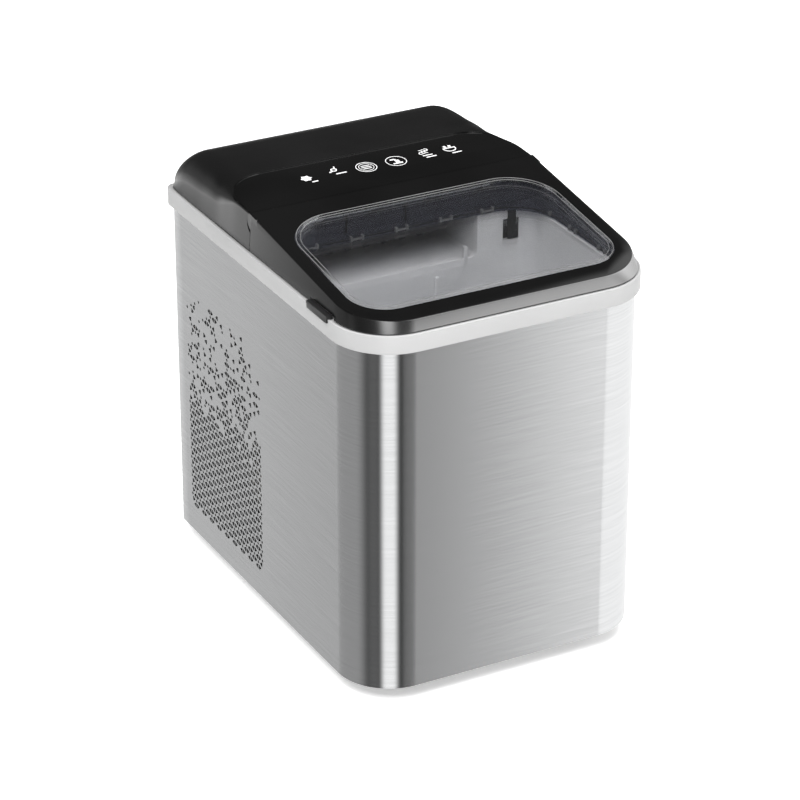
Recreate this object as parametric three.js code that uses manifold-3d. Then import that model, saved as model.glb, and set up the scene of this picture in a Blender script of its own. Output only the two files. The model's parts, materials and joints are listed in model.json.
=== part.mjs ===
// Countertop ice maker with a hinged window lid, built as separate named pieces.
// Millimetres. +X to the user's right, +Y to the back, +Z up. The origin is on the ground
// under the middle of the footprint.
import * as THREE from "three";
import { mergeVertices } from "three/addons/utils/BufferGeometryUtils.js";
import Module from "manifold-3d";

const wasm = await Module();
wasm.setup();

// ---------------------------------------------------------------- driving dimensions
const GAP = 0.3; // clearance between pieces that touch
const FOOT_HEIGHT = 14;
const BODY_HALF_WIDTH = 109; // sheet metal wrap
const BODY_FRONT = -149;
const BODY_REAR = 141;
const WRAP_CORNER = 38.5;
const WRAP_REAR_CORNER = 5;
const SHEET = 1;
const BAND_PROUD = 3.5; // upper frame stands this far out of the wrap
const BAND_BOTTOM = 262.3;
const BAND_TOP = 275.3;
const COVER_HALF_WIDTH = 110.2; // lid and hood where they meet the frame
const COVER_BOTTOM = BAND_TOP + GAP;
const COVER_FRONT = -150.4;
const COVER_REAR = 142.4;
const TOP_HALF_WIDTH = 108.3; // crease between the side walls and the top
const TOP_FRONT = -145.8;
const TOP_CORNER = 38.6;
const TOP_FRONT_Z = 281.9; // the lid's top plane, at y = LID_SLOPE_Y
const LID_SLOPE_Y = -150;
const LID_SLOPE = 0.121;
const LID_WALL_REAR = 13;
const HINGE_Y = 11;
const HINGE_Z = 296;
const HINGE_R = 7.5; // round rear edge of the lid, centred on the hinge line
const HINGE_CLEAR = 0.55; // between that edge and the panel and hood
const WINDOW = { halfWidth: 98.5, front: -130, rear: -4, frontR: 26, rearR: 36 };
const PANEL_FRONT = 16;
const PANEL_REAR = 68;
const PANEL_CORNER = 33;
const PANEL_SLOPE = 0.055;
const PANEL_THICK = 2;
const TANK = { halfWidth: 98.5, front: -142, rear: 62, bottom: 96, wall: 4 };
const TANK_TOP = BAND_TOP - GAP;
const ALCOVE = { left: -94.5, right: 54, front: -5, rear: 58, floor: 245 };
const TRAY = { y: 34, z: 266, r: 13, left: -86, right: 46 };
const BASKET = { halfWidth: 90, front: -134, rear: -12, bottom: 118, top: 200 };
const COMPRESSOR = { x: 45, y: 82, r: 47, bottom: 29, top: 152 };
const FAN = { y: 70, z: 102, r: 47, x: -65 };
const VENT = { front: 8, rear: 122, bottom: 34, top: 196, slots: 7, width: 8 };
const PLUG = { x: 84, z: 46 };

const lidTop = (y) => TOP_FRONT_Z + LID_SLOPE * (y - LID_SLOPE_Y);
const panelTop = (y) => lidTop(PANEL_FRONT) + PANEL_SLOPE * (y - PANEL_FRONT);

// ---------------------------------------------------------------- geometry helpers
// A closed three.js geometry as a solid that can be cut and joined.
function solid(geometry) {
  const plain = geometry.clone();
  for (const name of Object.keys(plain.attributes)) {
    if (name !== "position") plain.deleteAttribute(name);
  }
  const merged = mergeVertices(plain, 1e-4);
  return new wasm.Manifold(
    new wasm.Mesh({
      numProp: 3,
      vertProperties: merged.attributes.position.array,
      triVerts: new Uint32Array(merged.index.array),
    }),
  );
}

const join = (first, ...rest) => rest.reduce((sum, piece) => sum.add(piece), first);
const cut = (first, ...rest) => rest.reduce((left, tool) => left.subtract(tool), first);

function toGeometry(body) {
  const mesh = body.getMesh();
  const indexed = new THREE.BufferGeometry();
  indexed.setAttribute("position", new THREE.BufferAttribute(mesh.vertProperties, 3));
  indexed.setIndex(new THREE.BufferAttribute(mesh.triVerts, 1));
  const geometry = indexed.toNonIndexed();
  geometry.computeVertexNormals();
  return geometry;
}

function block(x0, x1, y0, y1, z0, z1) {
  const geometry = new THREE.BoxGeometry(x1 - x0, y1 - y0, z1 - z0);
  return solid(geometry.translate((x0 + x1) / 2, (y0 + y1) / 2, (z0 + z1) / 2));
}

// A rectangle with its own radius at the front and at the rear corners.
function roundedRect(x0, x1, y0, y1, frontR, rearR) {
  const shape = new THREE.Shape();
  const quarter = Math.PI / 2;
  shape.moveTo(x0, y1 - rearR);
  shape.lineTo(x0, y0 + frontR);
  shape.absarc(x0 + frontR, y0 + frontR, frontR, Math.PI, 3 * quarter, false);
  shape.lineTo(x1 - frontR, y0);
  shape.absarc(x1 - frontR, y0 + frontR, frontR, -quarter, 0, false);
  shape.lineTo(x1, y1 - rearR);
  shape.absarc(x1 - rearR, y1 - rearR, rearR, 0, quarter, false);
  shape.lineTo(x0 + rearR, y1);
  shape.absarc(x0 + rearR, y1 - rearR, rearR, quarter, Math.PI, false);
  return shape;
}

function prism(shape, z0, z1, curveSegments = 7) {
  const settings = { depth: z1 - z0, bevelEnabled: false, curveSegments };
  return solid(new THREE.ExtrudeGeometry(shape, settings).translate(0, 0, z0));
}

const roundedBlock = (x0, x1, y0, y1, z0, z1, r) =>
  prism(roundedRect(x0, x1, y0, y1, r, r), z0, z1, 3);

// Rings of the same number of points, from first to last, closed by flat ends.
function loft(rings) {
  const count = rings[0].length;
  const positions = rings.flat().flatMap((p) => [p.x, p.y, p.z]);
  const index = [];
  for (let ring = 0; ring + 1 < rings.length; ring++) {
    for (let i = 0; i < count; i++) {
      const a = ring * count + i;
      const b = ring * count + ((i + 1) % count);
      index.push(a, b, b + count, a, b + count, a + count);
    }
  }
  const last = (rings.length - 1) * count;
  for (let i = 1; i + 1 < count; i++) {
    index.push(0, i + 1, i, last, last + i, last + i + 1);
  }
  const geometry = new THREE.BufferGeometry();
  geometry.setAttribute("position", new THREE.Float32BufferAttribute(positions, 3));
  geometry.setIndex(index);
  return solid(geometry);
}

// An outline lifted to a height that may change along it.
function ringAt(shape, height, curveSegments = 7) {
  const points = shape.getPoints(curveSegments);
  if (points[0].distanceTo(points[points.length - 1]) < 1e-6) points.pop();
  return points.map((p) => new THREE.Vector3(p.x, p.y, height(p.y)));
}

// A cylinder along "x", "y" or "z", from one coordinate to another.
function rod(axis, from, to, a, b, r, sides = 12) {
  const geometry = new THREE.CylinderGeometry(r, r, to - from, sides);
  const middle = (from + to) / 2;
  if (axis === "x") geometry.rotateZ(-Math.PI / 2).translate(middle, a, b);
  if (axis === "y") geometry.translate(a, middle, b);
  if (axis === "z") geometry.rotateX(Math.PI / 2).translate(a, b, middle);
  return solid(geometry);
}

// A body of revolution about a vertical line; the profile is [radius, height] pairs.
function turned(profile, x, y, sides = 16) {
  const points = profile.map(([radius, z]) => new THREE.Vector2(radius, z));
  const geometry = new THREE.LatheGeometry(points, sides);
  return solid(geometry.rotateX(Math.PI / 2).translate(x, y, 0));
}

// A round tube or hose through the given points.
function pipe(points, r, steps, sides = 6) {
  const path = new THREE.CatmullRomCurve3(points.map((p) => new THREE.Vector3(...p)));
  const section = new THREE.Shape();
  for (let i = 0; i < sides; i++) {
    const angle = (2 * Math.PI * i) / sides;
    const move = i ? "lineTo" : "moveTo";
    section[move](r * Math.cos(angle), r * Math.sin(angle));
  }
  section.closePath();
  return solid(new THREE.ExtrudeGeometry(section, { steps, extrudePath: path }));
}

// ---------------------------------------------------------------- scene graph
const iceMaker = new THREE.Group();

function add(name, body, colour, roughness, metalness = 0, extra = {}) {
  const look = { color: colour, roughness, metalness, ...extra };
  const material = new THREE.MeshStandardMaterial(look);
  const mesh = new THREE.Mesh(toGeometry(body), material);
  mesh.name = name;
  iceMaker.add(mesh);
}

// ---------------------------------------------------------------- outer casing
const bodyOutline = (inset) =>
  roundedRect(
    -BODY_HALF_WIDTH + inset,
    BODY_HALF_WIDTH - inset,
    BODY_FRONT + inset,
    BODY_REAR - inset,
    WRAP_CORNER - inset,
    WRAP_REAR_CORNER - Math.min(inset, WRAP_REAR_CORNER - 1),
  );

const SCREW_X = 101;
const SCREW_HEIGHTS = [60, 220];

function screwPlaces() {
  const places = [];
  for (const x of [-SCREW_X, SCREW_X]) {
    for (const z of SCREW_HEIGHTS) places.push([x, z]);
  }
  return places;
}

// One sheet round the front and both sides, turned in at the back.
function makeWrap() {
  const top = 268;
  const returnWidth = 14;
  const openHalf = BODY_HALF_WIDTH - returnWidth;
  const tools = [
    prism(bodyOutline(SHEET), FOOT_HEIGHT - 1, top + 1),
    block(-openHalf, openHalf, BODY_REAR - 10, BODY_REAR + 1, FOOT_HEIGHT - 1, top + 1),
  ];
  const pitch = (VENT.rear - VENT.front) / VENT.slots;
  for (let i = 0; i < VENT.slots; i++) {
    const y = VENT.front + (i + 0.5) * pitch;
    tools.push(block(-120, 120, y - VENT.width / 2, y + VENT.width / 2, VENT.bottom, VENT.top));
  }
  for (const [x, z] of screwPlaces()) {
    tools.push(rod("y", BODY_REAR - 9, BODY_REAR + 1, x, z, 2.4, 8));
  }
  return cut(prism(bodyOutline(0), FOOT_HEIGHT, top), ...tools);
}

const FOOT_X = 78;
const FOOT_FRONT = -108;
const FOOT_REAR = 112;

function makeFoot(x, y) {
  const profile = [
    [0, 0],
    [9, 0],
    [10, 1.5],
    [10, FOOT_HEIGHT - 0.5],
    [9, FOOT_HEIGHT + 1.7],
    [4, FOOT_HEIGHT + 1.7],
    [4, 22],
    [0, 22],
  ];
  return turned(profile, x, y, 16);
}

const feet = {
  foot_front_left: [-FOOT_X, FOOT_FRONT],
  foot_front_right: [FOOT_X, FOOT_FRONT],
  foot_rear_left: [-FOOT_X, FOOT_REAR],
  foot_rear_right: [FOOT_X, FOOT_REAR],
};

// A shallow tray that closes the bottom, with an upstand all round.
function makeBasePan() {
  const outline = (inset) =>
    roundedRect(-107.5 + inset, 107.5 - inset, -147.5 + inset, 136.5 - inset, 37 - inset, 3.5);
  const floor = 18.5;
  const holes = Object.values(feet).map(([x, y]) => rod("z", 15, 20, x, y, 4.4, 12));
  const inner = prism(outline(2), floor, 40);
  return cut(prism(outline(0), FOOT_HEIGHT + 2, 34), inner, ...holes);
}

function makeRearPanel() {
  const y0 = 137;
  const y1 = 139.6;
  const tools = screwPlaces().map(([x, z]) => rod("y", y0 - 1, y1 + 1, x, z, 2.4, 8));
  for (let i = 0; i < 9; i++) {
    const z = 82 + i * 12;
    tools.push(block(-50, 50, y0 - 1, y1 + 1, z, z + 5));
  }
  tools.push(block(-92.5, -68.5, y0 - 1, y1 + 1, 36, 54));
  tools.push(rod("y", y0 - 1, y1 + 1, PLUG.x, PLUG.z, 6.4, 12));
  return cut(block(-104, 104, y0, y1, 36, 261), ...tools);
}

// The outlet grille that keeps the machine off the wall behind it.
function makeRearGrille() {
  const y0 = 139.9;
  const y1 = 152.5;
  const frame = cut(roundedBlock(-62, 62, y0, y1, 70, 196, 0.5), block(-56, 56, y0 - 1, y1 + 1, 76, 190));
  const bars = [];
  for (let i = 0; i < 9; i++) {
    const z = 79 + i * 12.2;
    bars.push(block(-57, 57, y0 + 4, y1 - 2, z, z + 3));
  }
  return join(frame, ...bars, block(-2, 2, y0 + 4, y1 - 2, 75, 191));
}

function makeScrew(x, z) {
  const head = rod("y", BODY_REAR + 0.3, BODY_REAR + 2.6, x, z, 3.8, 10);
  const cross = join(
    block(x - 2.4, x + 2.4, BODY_REAR + 1.4, BODY_REAR + 4, z - 0.5, z + 0.5),
    block(x - 0.5, x + 0.5, BODY_REAR + 1.4, BODY_REAR + 4, z - 2.4, z + 2.4),
  );
  return cut(join(head, rod("y", 131, BODY_REAR + 1, x, z, 1.9, 8)), cross);
}

// The appliance inlet for the mains lead, set in the rear panel.
function makePowerInlet() {
  const body = block(-92.1, -68.9, 128, 141, 36.4, 53.6);
  const flange = roundedBlock(-94.6, -66.4, 140, 142.5, 34, 56, 0.5);
  const socket = block(-89, -72, 130, 144, 40, 50);
  const pins = [-84, -77].map((x) => rod("y", 129, 139, x, 45, 1.2, 8));
  return join(cut(join(body, flange), socket), ...pins);
}

// ---------------------------------------------------------------- upper frame
function makeUpperFrame() {
  const outline = (inset) =>
    roundedRect(
      -BODY_HALF_WIDTH - BAND_PROUD + inset,
      BODY_HALF_WIDTH + BAND_PROUD - inset,
      BODY_FRONT - BAND_PROUD + inset,
      BODY_REAR + BAND_PROUD - inset,
      42 - inset,
      7 - inset / 2,
    );
  const underside = prism(outline(BAND_PROUD - GAP), BAND_BOTTOM - 1, BAND_TOP - 3);
  const tankOpening = prism(roundedRect(-99.2, 99.2, -142.7, 62.7, 12, 1), 260, 280, 4);
  const serviceOpening = roundedBlock(-92, 92, 74, 128, 260, 280, 6);
  return cut(prism(outline(0), BAND_BOTTOM, BAND_TOP), underside, tankOpening, serviceOpening);
}

// ---------------------------------------------------------------- hood and control panel
// Height of the hood's crown, and the rounding of its upper edges, from front to back.
const hoodStations = [
  { y: LID_WALL_REAR + 0.6, top: 301.4, fillet: 1.2, half: 110.2 },
  { y: 33, top: 302.9, fillet: 2.5, half: 110.2 },
  { y: 52, top: 304.2, fillet: 10, half: 110.2 },
  { y: 68, top: 305.4, fillet: 17, half: 110.2 },
  { y: 82, top: 307, fillet: 20, half: 110.2 },
  { y: 100, top: 307, fillet: 22, half: 110.2 },
  { y: 114, top: 306.2, fillet: 22, half: 110.2 },
  { y: 124, top: 304.3, fillet: 22, half: 110.2 },
  { y: 131, top: 301.2, fillet: 21, half: 110 },
  { y: 136, top: 297, fillet: 18, half: 109.4 },
  { y: 139.6, top: 291, fillet: 13, half: 108 },
  { y: 141.6, top: 284, fillet: 6, half: 106 },
  { y: COVER_REAR, top: 278.5, fillet: 1.5, half: 104 },
];

// One cross-section: up the left wall, over the top, down the right wall.
function hoodSection({ y, top, fillet, half }, inset, bottom) {
  const points = [];
  const lean = 1.9 * ((top - COVER_BOTTOM) / 27);
  const outer = half - inset;
  const crown = top - inset;
  const radius = Math.max(fillet - inset, 0.8);
  for (const side of [-1, 1]) {
    const corner = [];
    corner.push(new THREE.Vector3(side * outer, y, bottom));
    for (let i = 0; i <= 4; i++) {
      const angle = (i / 4) * (Math.PI / 2);
      const x = outer - lean - radius + radius * Math.cos(angle);
      const z = crown - radius + radius * Math.sin(angle);
      corner.push(new THREE.Vector3(side * x, y, z));
    }
    points.push(...(side < 0 ? corner : corner.reverse()));
  }
  return points;
}

// The control panel's outline: straight in front, large round corners behind.
function panelOutline(inset, sideHalf) {
  const shape = new THREE.Shape();
  const y1 = PANEL_REAR - inset;
  const r = PANEL_CORNER;
  const half = TOP_HALF_WIDTH - 1 - inset;
  shape.moveTo(-sideHalf, PANEL_FRONT);
  shape.lineTo(sideHalf, PANEL_FRONT);
  shape.lineTo(sideHalf, y1 - r);
  if (sideHalf > half) shape.lineTo(half, y1 - r);
  shape.absarc(half - r, y1 - r, r, 0, Math.PI / 2, false);
  shape.absarc(-half + r, y1 - r, r, Math.PI / 2, Math.PI, false);
  if (sideHalf > half) shape.lineTo(-sideHalf, y1 - r);
  return shape;
}

// A slab that follows a sloped plane between two offsets from it.
function slopedSlab(shape, height, below, above, curveSegments = 7) {
  return loftShape(shape, (y) => height(y) + below, (y) => height(y) + above, curveSegments);
}

// A solid between two heights over an outline that may be hollow in plan.
function loftShape(shape, low, high, curveSegments) {
  const geometry = new THREE.ExtrudeGeometry(shape, { depth: 1, bevelEnabled: false, curveSegments });
  const position = geometry.attributes.position;
  for (let i = 0; i < position.count; i++) {
    const y = position.getY(i);
    position.setZ(i, position.getZ(i) > 0.5 ? high(y) : low(y));
  }
  return solid(geometry);
}

const HOOD_WALL = 2.4;
const hingeSweep = () =>
  rod("x", -115, 115, HINGE_Y, HINGE_Z, HINGE_R + HINGE_CLEAR, 48);

function makeHood() {
  const outer = loft(hoodStations.map((s) => hoodSection(s, 0, COVER_BOTTOM)));
  const innerStations = hoodStations
    .filter((s) => s.y < 138)
    .map((s) => ({ ...s, y: s.y < 8 ? s.y - 1 : s.y, top: s.top - (s.y > 120 ? 1.5 : 0) }));
  const inner = loft(innerStations.map((s) => hoodSection(s, HOOD_WALL, COVER_BOTTOM - 1)));
  const recess = slopedSlab(panelOutline(-GAP, 115), panelTop, -PANEL_THICK - GAP, 20);
  const lidBay = join(block(-115, 115, 0, PANEL_FRONT, HINGE_Z, 320), hingeSweep());
  const shelf = slopedSlab(
    roundedRect(-107, 107, PANEL_FRONT - 3, 72, 1, 30),
    panelTop,
    -PANEL_THICK - 2 * GAP - 1.6,
    -PANEL_THICK - GAP,
  );
  return cut(join(cut(outer, inner), shelf), recess, lidBay);
}

// Its front edge is undercut, which leaves room for the lid's round rear edge.
function makePanel() {
  const plate = slopedSlab(panelOutline(0, TOP_HALF_WIDTH - 1), panelTop, -PANEL_THICK, 0);
  return cut(plate, hingeSweep());
}

// ---------------------------------------------------------------- lid
const lidOutline = (halfWidth, front, inset, rear = LID_WALL_REAR) =>
  roundedRect(
    -halfWidth + inset,
    halfWidth - inset,
    front + inset,
    rear,
    TOP_CORNER - inset,
    0.5,
  );

const windowOutline = (inset) =>
  roundedRect(
    -WINDOW.halfWidth + inset,
    WINDOW.halfWidth - inset,
    WINDOW.front + inset,
    WINDOW.rear - inset,
    WINDOW.frontR - inset,
    WINDOW.rearR - inset,
  );

const EAR_X = 103.2; // hinge ears on the frame stand in slots of the lid's rear bar
const EAR_HALF = 2;
const EAR_R = 3.6;
const PIN_R = 2; // moulded pins of the lid, one across each slot
const BAR_HALF = 108.6;

function makeLidFrame() {
  const outer = loft([
    ringAt(lidOutline(COVER_HALF_WIDTH, COVER_FRONT, 0), () => COVER_BOTTOM),
    ringAt(lidOutline(TOP_HALF_WIDTH, TOP_FRONT, 0), lidTop),
  ]);
  const inner = loft([
    ringAt(lidOutline(COVER_HALF_WIDTH, COVER_FRONT, 2.2, 20), () => COVER_BOTTOM - 1),
    ringAt(lidOutline(TOP_HALF_WIDTH, TOP_FRONT, 2.2, 20), (y) => lidTop(y) - 2.6),
  ]);
  const web = join(
    block(-TOP_HALF_WIDTH, TOP_HALF_WIDTH, 3, HINGE_Y, HINGE_Z - 5, HINGE_Z + HINGE_R),
    block(-TOP_HALF_WIDTH, TOP_HALF_WIDTH, 3, 5, COVER_BOTTOM, HINGE_Z),
  );
  const aboveTop = slopedSlab(roundedRect(-120, 120, -10, 30, 1, 1), lidTop, 0, 20);
  const round = rod("x", -BAR_HALF, BAR_HALF, HINGE_Y, HINGE_Z, HINGE_R, 48);
  const bar = cut(join(round, web), aboveTop);
  const slots = [-1, 1].map((side) => {
    const x = side * EAR_X;
    const half = EAR_HALF + 0.5;
    return block(x - half, x + half, HINGE_Y - 5, 24, HINGE_Z - 10, HINGE_Z + EAR_R + 0.6);
  });
  const pins = [-1, 1].map((side) => {
    const x = side * EAR_X;
    return rod("x", x - EAR_HALF - 1, x + EAR_HALF + 1, HINGE_Y, HINGE_Z, PIN_R, 16);
  });
  const opening = slopedSlab(windowOutline(0), lidTop, -60, 10);
  return join(cut(join(cut(outer, inner), bar), opening, ...slots), ...pins);
}

// Hinge bracket: a foot on the frame and an upright ear with the pin's bore.
function makeHingeBracket(side) {
  const x = side * EAR_X;
  const ear = join(
    rod("x", x - EAR_HALF, x + EAR_HALF, HINGE_Y, HINGE_Z, EAR_R, 14),
    block(x - EAR_HALF, x + EAR_HALF, HINGE_Y - 1.9, HINGE_Y + 2.5, BAND_TOP + 2, HINGE_Z),
    block(x - 2.7, x + 2.4, 7.8, 15, COVER_BOTTOM, COVER_BOTTOM + 2.2),
  );
  return cut(ear, rod("x", x - 5, x + 5, HINGE_Y, HINGE_Z, PIN_R + GAP, 16));
}

function makeWindow() {
  return slopedSlab(windowOutline(0.4), lidTop, -2.6, 0.4);
}

const RETAINER_BOTTOM = 276.2;

// The smoked inner wall under the window, with snap hooks along its lower edge.
function makeWindowRetainer() {
  const top = (y) => lidTop(y) - 3;
  const wall = cut(
    loftShape(windowOutline(-1.2), () => RETAINER_BOTTOM, top, 7),
    loftShape(windowOutline(1.6), () => 270, (y) => top(y) + 5, 7),
  );
  const hook = (x0, x1, y0, y1, height) =>
    block(x0, x1, y0, y1, RETAINER_BOTTOM, RETAINER_BOTTOM + height);
  const hooks = [];
  for (const x of [-60, 0, 60]) {
    hooks.push(hook(x - 5, x + 5, WINDOW.rear - 4.2, WINDOW.rear - 1, 3));
    if (x) hooks.push(hook(x / 2 - 5, x / 2 + 5, WINDOW.front + 1, WINDOW.front + 3.6, 2));
  }
  for (const side of [-1, 1]) {
    for (const y of [-90, -45]) {
      const x = side * (WINDOW.halfWidth - 2.2);
      hooks.push(hook(x - 1.8, x + 1.8, y - 5, y + 5, 3));
    }
  }
  return join(wall, ...hooks);
}

const TAB = { front: -110, rear: -77, bottom: 270.8, top: 278 };
const TAB_FACE = BODY_HALF_WIDTH + BAND_PROUD + GAP; // inner face of the lip

// A grip on the lid's lower edge, with a lip that hangs over the frame's outer face.
function makeLidTab(side) {
  const { front, rear, bottom, top } = TAB;
  const arm = prism(roundedRect(108.9, TAB_FACE + 1, front, rear, 1, 1), COVER_BOTTOM, top, 3);
  const lip = block(TAB_FACE, TAB_FACE + 1, front + 1, rear - 1, bottom, top);
  const whole = join(arm, lip);
  return side > 0 ? whole : whole.mirror([1, 0, 0]);
}

const wallSlot = (side) =>
  block(
    Math.min(side * 105, side * 113),
    Math.max(side * 105, side * 113),
    TAB.front - 0.5,
    TAB.rear + 0.5,
    275,
    TAB.top + 0.5,
  );

// ---------------------------------------------------------------- cold side
const sensorSlot = (x0, y0, y1) => block(x0, x0 + 12, y0, y1, 252, 268);
const alcoveSpace = () =>
  block(ALCOVE.left, ALCOVE.right, ALCOVE.front - 1, ALCOVE.rear, ALCOVE.floor, 290);

// The basin that holds the water and the basket; its rear wall has the alcove's opening.
function makeTank() {
  const t = TANK.wall;
  const half = TANK.halfWidth;
  const rear = ALCOVE.front + t;
  const outer = prism(roundedRect(-half, half, TANK.front, rear, 12, 1), TANK.bottom, TANK_TOP, 4);
  const basin = prism(
    roundedRect(-half + t, half - t, TANK.front + t, ALCOVE.front, 7, 6),
    TANK.bottom + t,
    290,
    4,
  );
  const outlets = [rod("y", -6, 4, 0, 112, 4.6, 10), rod("y", -6, 4, 80, 108, 5.6, 10)];
  const slots = [sensorSlot(74, -10, rear + 1), sensorSlot(-86, -200, TANK.front + t + 1)];
  return cut(outer, basin, alcoveSpace(), ...slots, ...outlets);
}

// The shelf behind the basin, with the alcove for the tray and a bay for its motor.
function makeIceChamber() {
  const t = TANK.wall;
  const half = TANK.halfWidth;
  const front = ALCOVE.front + t + GAP;
  const outer = block(-half, half, front, TANK.rear, ALCOVE.floor - t, TANK_TOP);
  const motorBay = block(ALCOVE.right + t, half - t, front - 1, ALCOVE.rear, 200, 290);
  const shaftHole = rod("x", ALCOVE.right - 1, ALCOVE.right + t + 1, TRAY.y, TRAY.z, 4.6, 12);
  const hoseHole = rod("y", ALCOVE.rear - 1, TANK.rear + 1, -20, 264, 4.6, 10);
  return cut(outer, alcoveSpace(), motorBay, shaftHole, hoseHole);
}

// Foam round the lower part of the tank.
function makeInsulation() {
  const outer = prism(roundedRect(-107, 107, -147, 3, 36, 1), 78, 240, 5);
  const inner = prism(roundedRect(-99, 99, -142.5, 3.5, 12, 0.5), 95.5, 245, 4);
  return cut(outer, inner);
}

function makeBasket() {
  const wall = 2;
  const { halfWidth, front, rear, bottom, top } = BASKET;
  const outer = prism(roundedRect(-halfWidth, halfWidth, front, rear, 5, 5), bottom, top, 3);
  const inner = prism(
    roundedRect(-halfWidth + wall, halfWidth - wall, front + wall, rear - wall, 3, 3),
    bottom + wall,
    top + 1,
    3,
  );
  const tools = [inner];
  for (let i = 0; i < 8; i++) {
    const x = -70 + i * 20;
    tools.push(block(x - 3, x + 3, front + 20, rear - 20, bottom - 1, bottom + 3));
  }
  return cut(outer, ...tools);
}

const FINGERS = 8;

function makeEvaporator() {
  const header = block(-78, 38, TRAY.y - 6, TRAY.y + 6, 279, 288);
  const parts = [];
  for (let i = 0; i < FINGERS; i++) {
    const x = -71 + i * 14.6;
    parts.push(turned([[0, 257], [3, 257.6], [4.6, 260], [4.6, 281], [0, 281]], x, TRAY.y, 10));
  }
  return join(header, ...parts);
}

// A half-round trough that turns about its own axis, with a stub into the gear motor.
function makeWaterTray() {
  const { y, z, r, left, right } = TRAY;
  const trough = cut(
    rod("x", left, right, y, z, r, 20),
    rod("x", left + 2, right - 2, y, z, r - 1.8, 20),
    block(left + 2, right - 2, y - 20, y + 20, z + 1, z + 20),
    block(left - 1, right + 1, y - 20, y + 20, z + 5, z + 20),
  );
  return join(trough, rod("x", right - 1, 62, y, z, 4, 12), rod("x", left - 5, left + 1, y, z, 4, 12));
}

// The rake that pushes released ice off the alcove floor.
function makeIceRake() {
  const bar = block(-84, 44, 50, 55, 247, 250.8);
  const teeth = [];
  for (let i = 0; i < 9; i++) teeth.push(block(-80 + i * 14, -76 + i * 14, 40, 51, 247, 250));
  return join(bar, ...teeth);
}

function makeTrayMotor() {
  const can = rod("x", 72, 92, TRAY.y, TRAY.z, 12, 16);
  const gearbox = cut(
    block(58.5, 73, 18, 50, 252, 280),
    rod("x", 58, 63, TRAY.y, TRAY.z, 4.4, 12),
  );
  return join(can, gearbox);
}

function makeIrSensor(x, y) {
  return join(
    block(x - 5.6, x + 5.6, y - 3.2, y - 1.4, 252.4, 267.6),
    rod("y", y - 3, y + 1, x, 260, 2.5, 10),
    block(x - 5.2, x + 5.2, y - 2, y + 1.5, 253, 256),
  );
}

function makeFloatStem() {
  return join(rod("z", 100.3, 150, 60, -8.5, 1.6, 8), rod("z", 148, 151, 60, -8.5, 2.8, 10));
}

const makeFloat = () =>
  cut(rod("z", 102, 114, 60, -8.5, 3.1, 14), rod("z", 101, 115, 60, -8.5, 1.95, 10));

function makeChamberCover() {
  return cut(roundedBlock(-96, 96, 24.5, 66, 289, 291, 1), block(-94, -82, 20, 30, 280, 300));
}

// ---------------------------------------------------------------- water circuit
function makePump() {
  return join(
    rod("x", -16, 18, 18, 214, 13, 16),
    rod("x", 17, 24, 18, 214, 9, 12),
    rod("z", 195, 212, 18, 18, 3.4, 10),
    rod("y", 24, 38, -8, 214, 3.4, 10),
    block(-14, 14, 8, 28, 225, 229),
  );
}

const pumpInlet = [
  [0, -3, 112],
  [0, 9, 114],
  [6, 14, 130],
  [16, 18, 160],
  [18, 18, 184],
  [18, 18, 194.6],
];
const pumpOutlet = [
  [-8, 38.4, 214],
  [-8, 46, 214],
  [-17, 72, 228],
  [-20, 76, 248],
  [-20, 72, 262],
  [-20, 57, 264],
];
const drainLine = [
  [80, 0.2, 108],
  [80, 7, 108],
  [97, 24, 94],
  [101, 60, 66],
  [98, 110, 50],
  [PLUG.x, 130, PLUG.z],
  [PLUG.x, 137.9, PLUG.z],
];

function makeDrainSpout() {
  const tube = join(
    rod("y", 136.2, 146, PLUG.x, PLUG.z, 6, 14),
    rod("y", 140, 142.4, PLUG.x, PLUG.z, 9.5, 16),
  );
  const bore = rod("y", 130, 150, PLUG.x, PLUG.z, 3.6, 12);
  const hoseSeat = rod("y", 130, 138.2, PLUG.x, PLUG.z, 5.6, 12);
  return cut(tube, bore, hoseSeat);
}

function makeDrainPlug() {
  return join(
    rod("y", 146.3, 150.5, PLUG.x, PLUG.z, 8, 16),
    rod("y", 139, 147, PLUG.x, PLUG.z, 3.2, 12),
    block(PLUG.x - 1.2, PLUG.x + 1.2, 150, 152.3, PLUG.z - 6, PLUG.z + 6),
  );
}

// ---------------------------------------------------------------- refrigeration
function makeCompressor() {
  const { x, y, r, bottom, top } = COMPRESSOR;
  const shell = turned(
    [
      [0, bottom],
      [r - 12, bottom],
      [r - 3, bottom + 7],
      [r, bottom + 18],
      [r, top - 50],
      [r - 2, top - 46],
      [r - 2, top - 18],
      [r - 10, top - 6],
      [r - 24, top],
      [0, top],
    ],
    x,
    y,
    28,
  );
  const plate = cut(
    roundedBlock(x - 44, x + 44, y - 42, y + 42, 26, 30, 8),
    ...grommetPlaces().map(([gx, gy]) => rod("z", 20, 40, gx, gy, 3.6, 10)),
  );
  return join(shell, plate);
}

function grommetPlaces() {
  const { x, y } = COMPRESSOR;
  return [
    [x - 38, y - 36],
    [x + 38, y - 36],
    [x - 38, y + 36],
  ];
}

const makeGrommet = ([x, y]) =>
  turned([[0, 18.8], [8, 18.8], [8, 25.7], [3.3, 25.7], [3.3, 33], [0, 33]], x, y, 12);

function makeTerminalCover() {
  const { x, y, r } = COMPRESSOR;
  return roundedBlock(x - r - 16, x - r - 0.5, y - 18, y + 18, 72, 112, 3);
}

const COIL = { x0: -104, x1: -88, y0: 14, y1: 126, z0: 40, z1: 166 };

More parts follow.
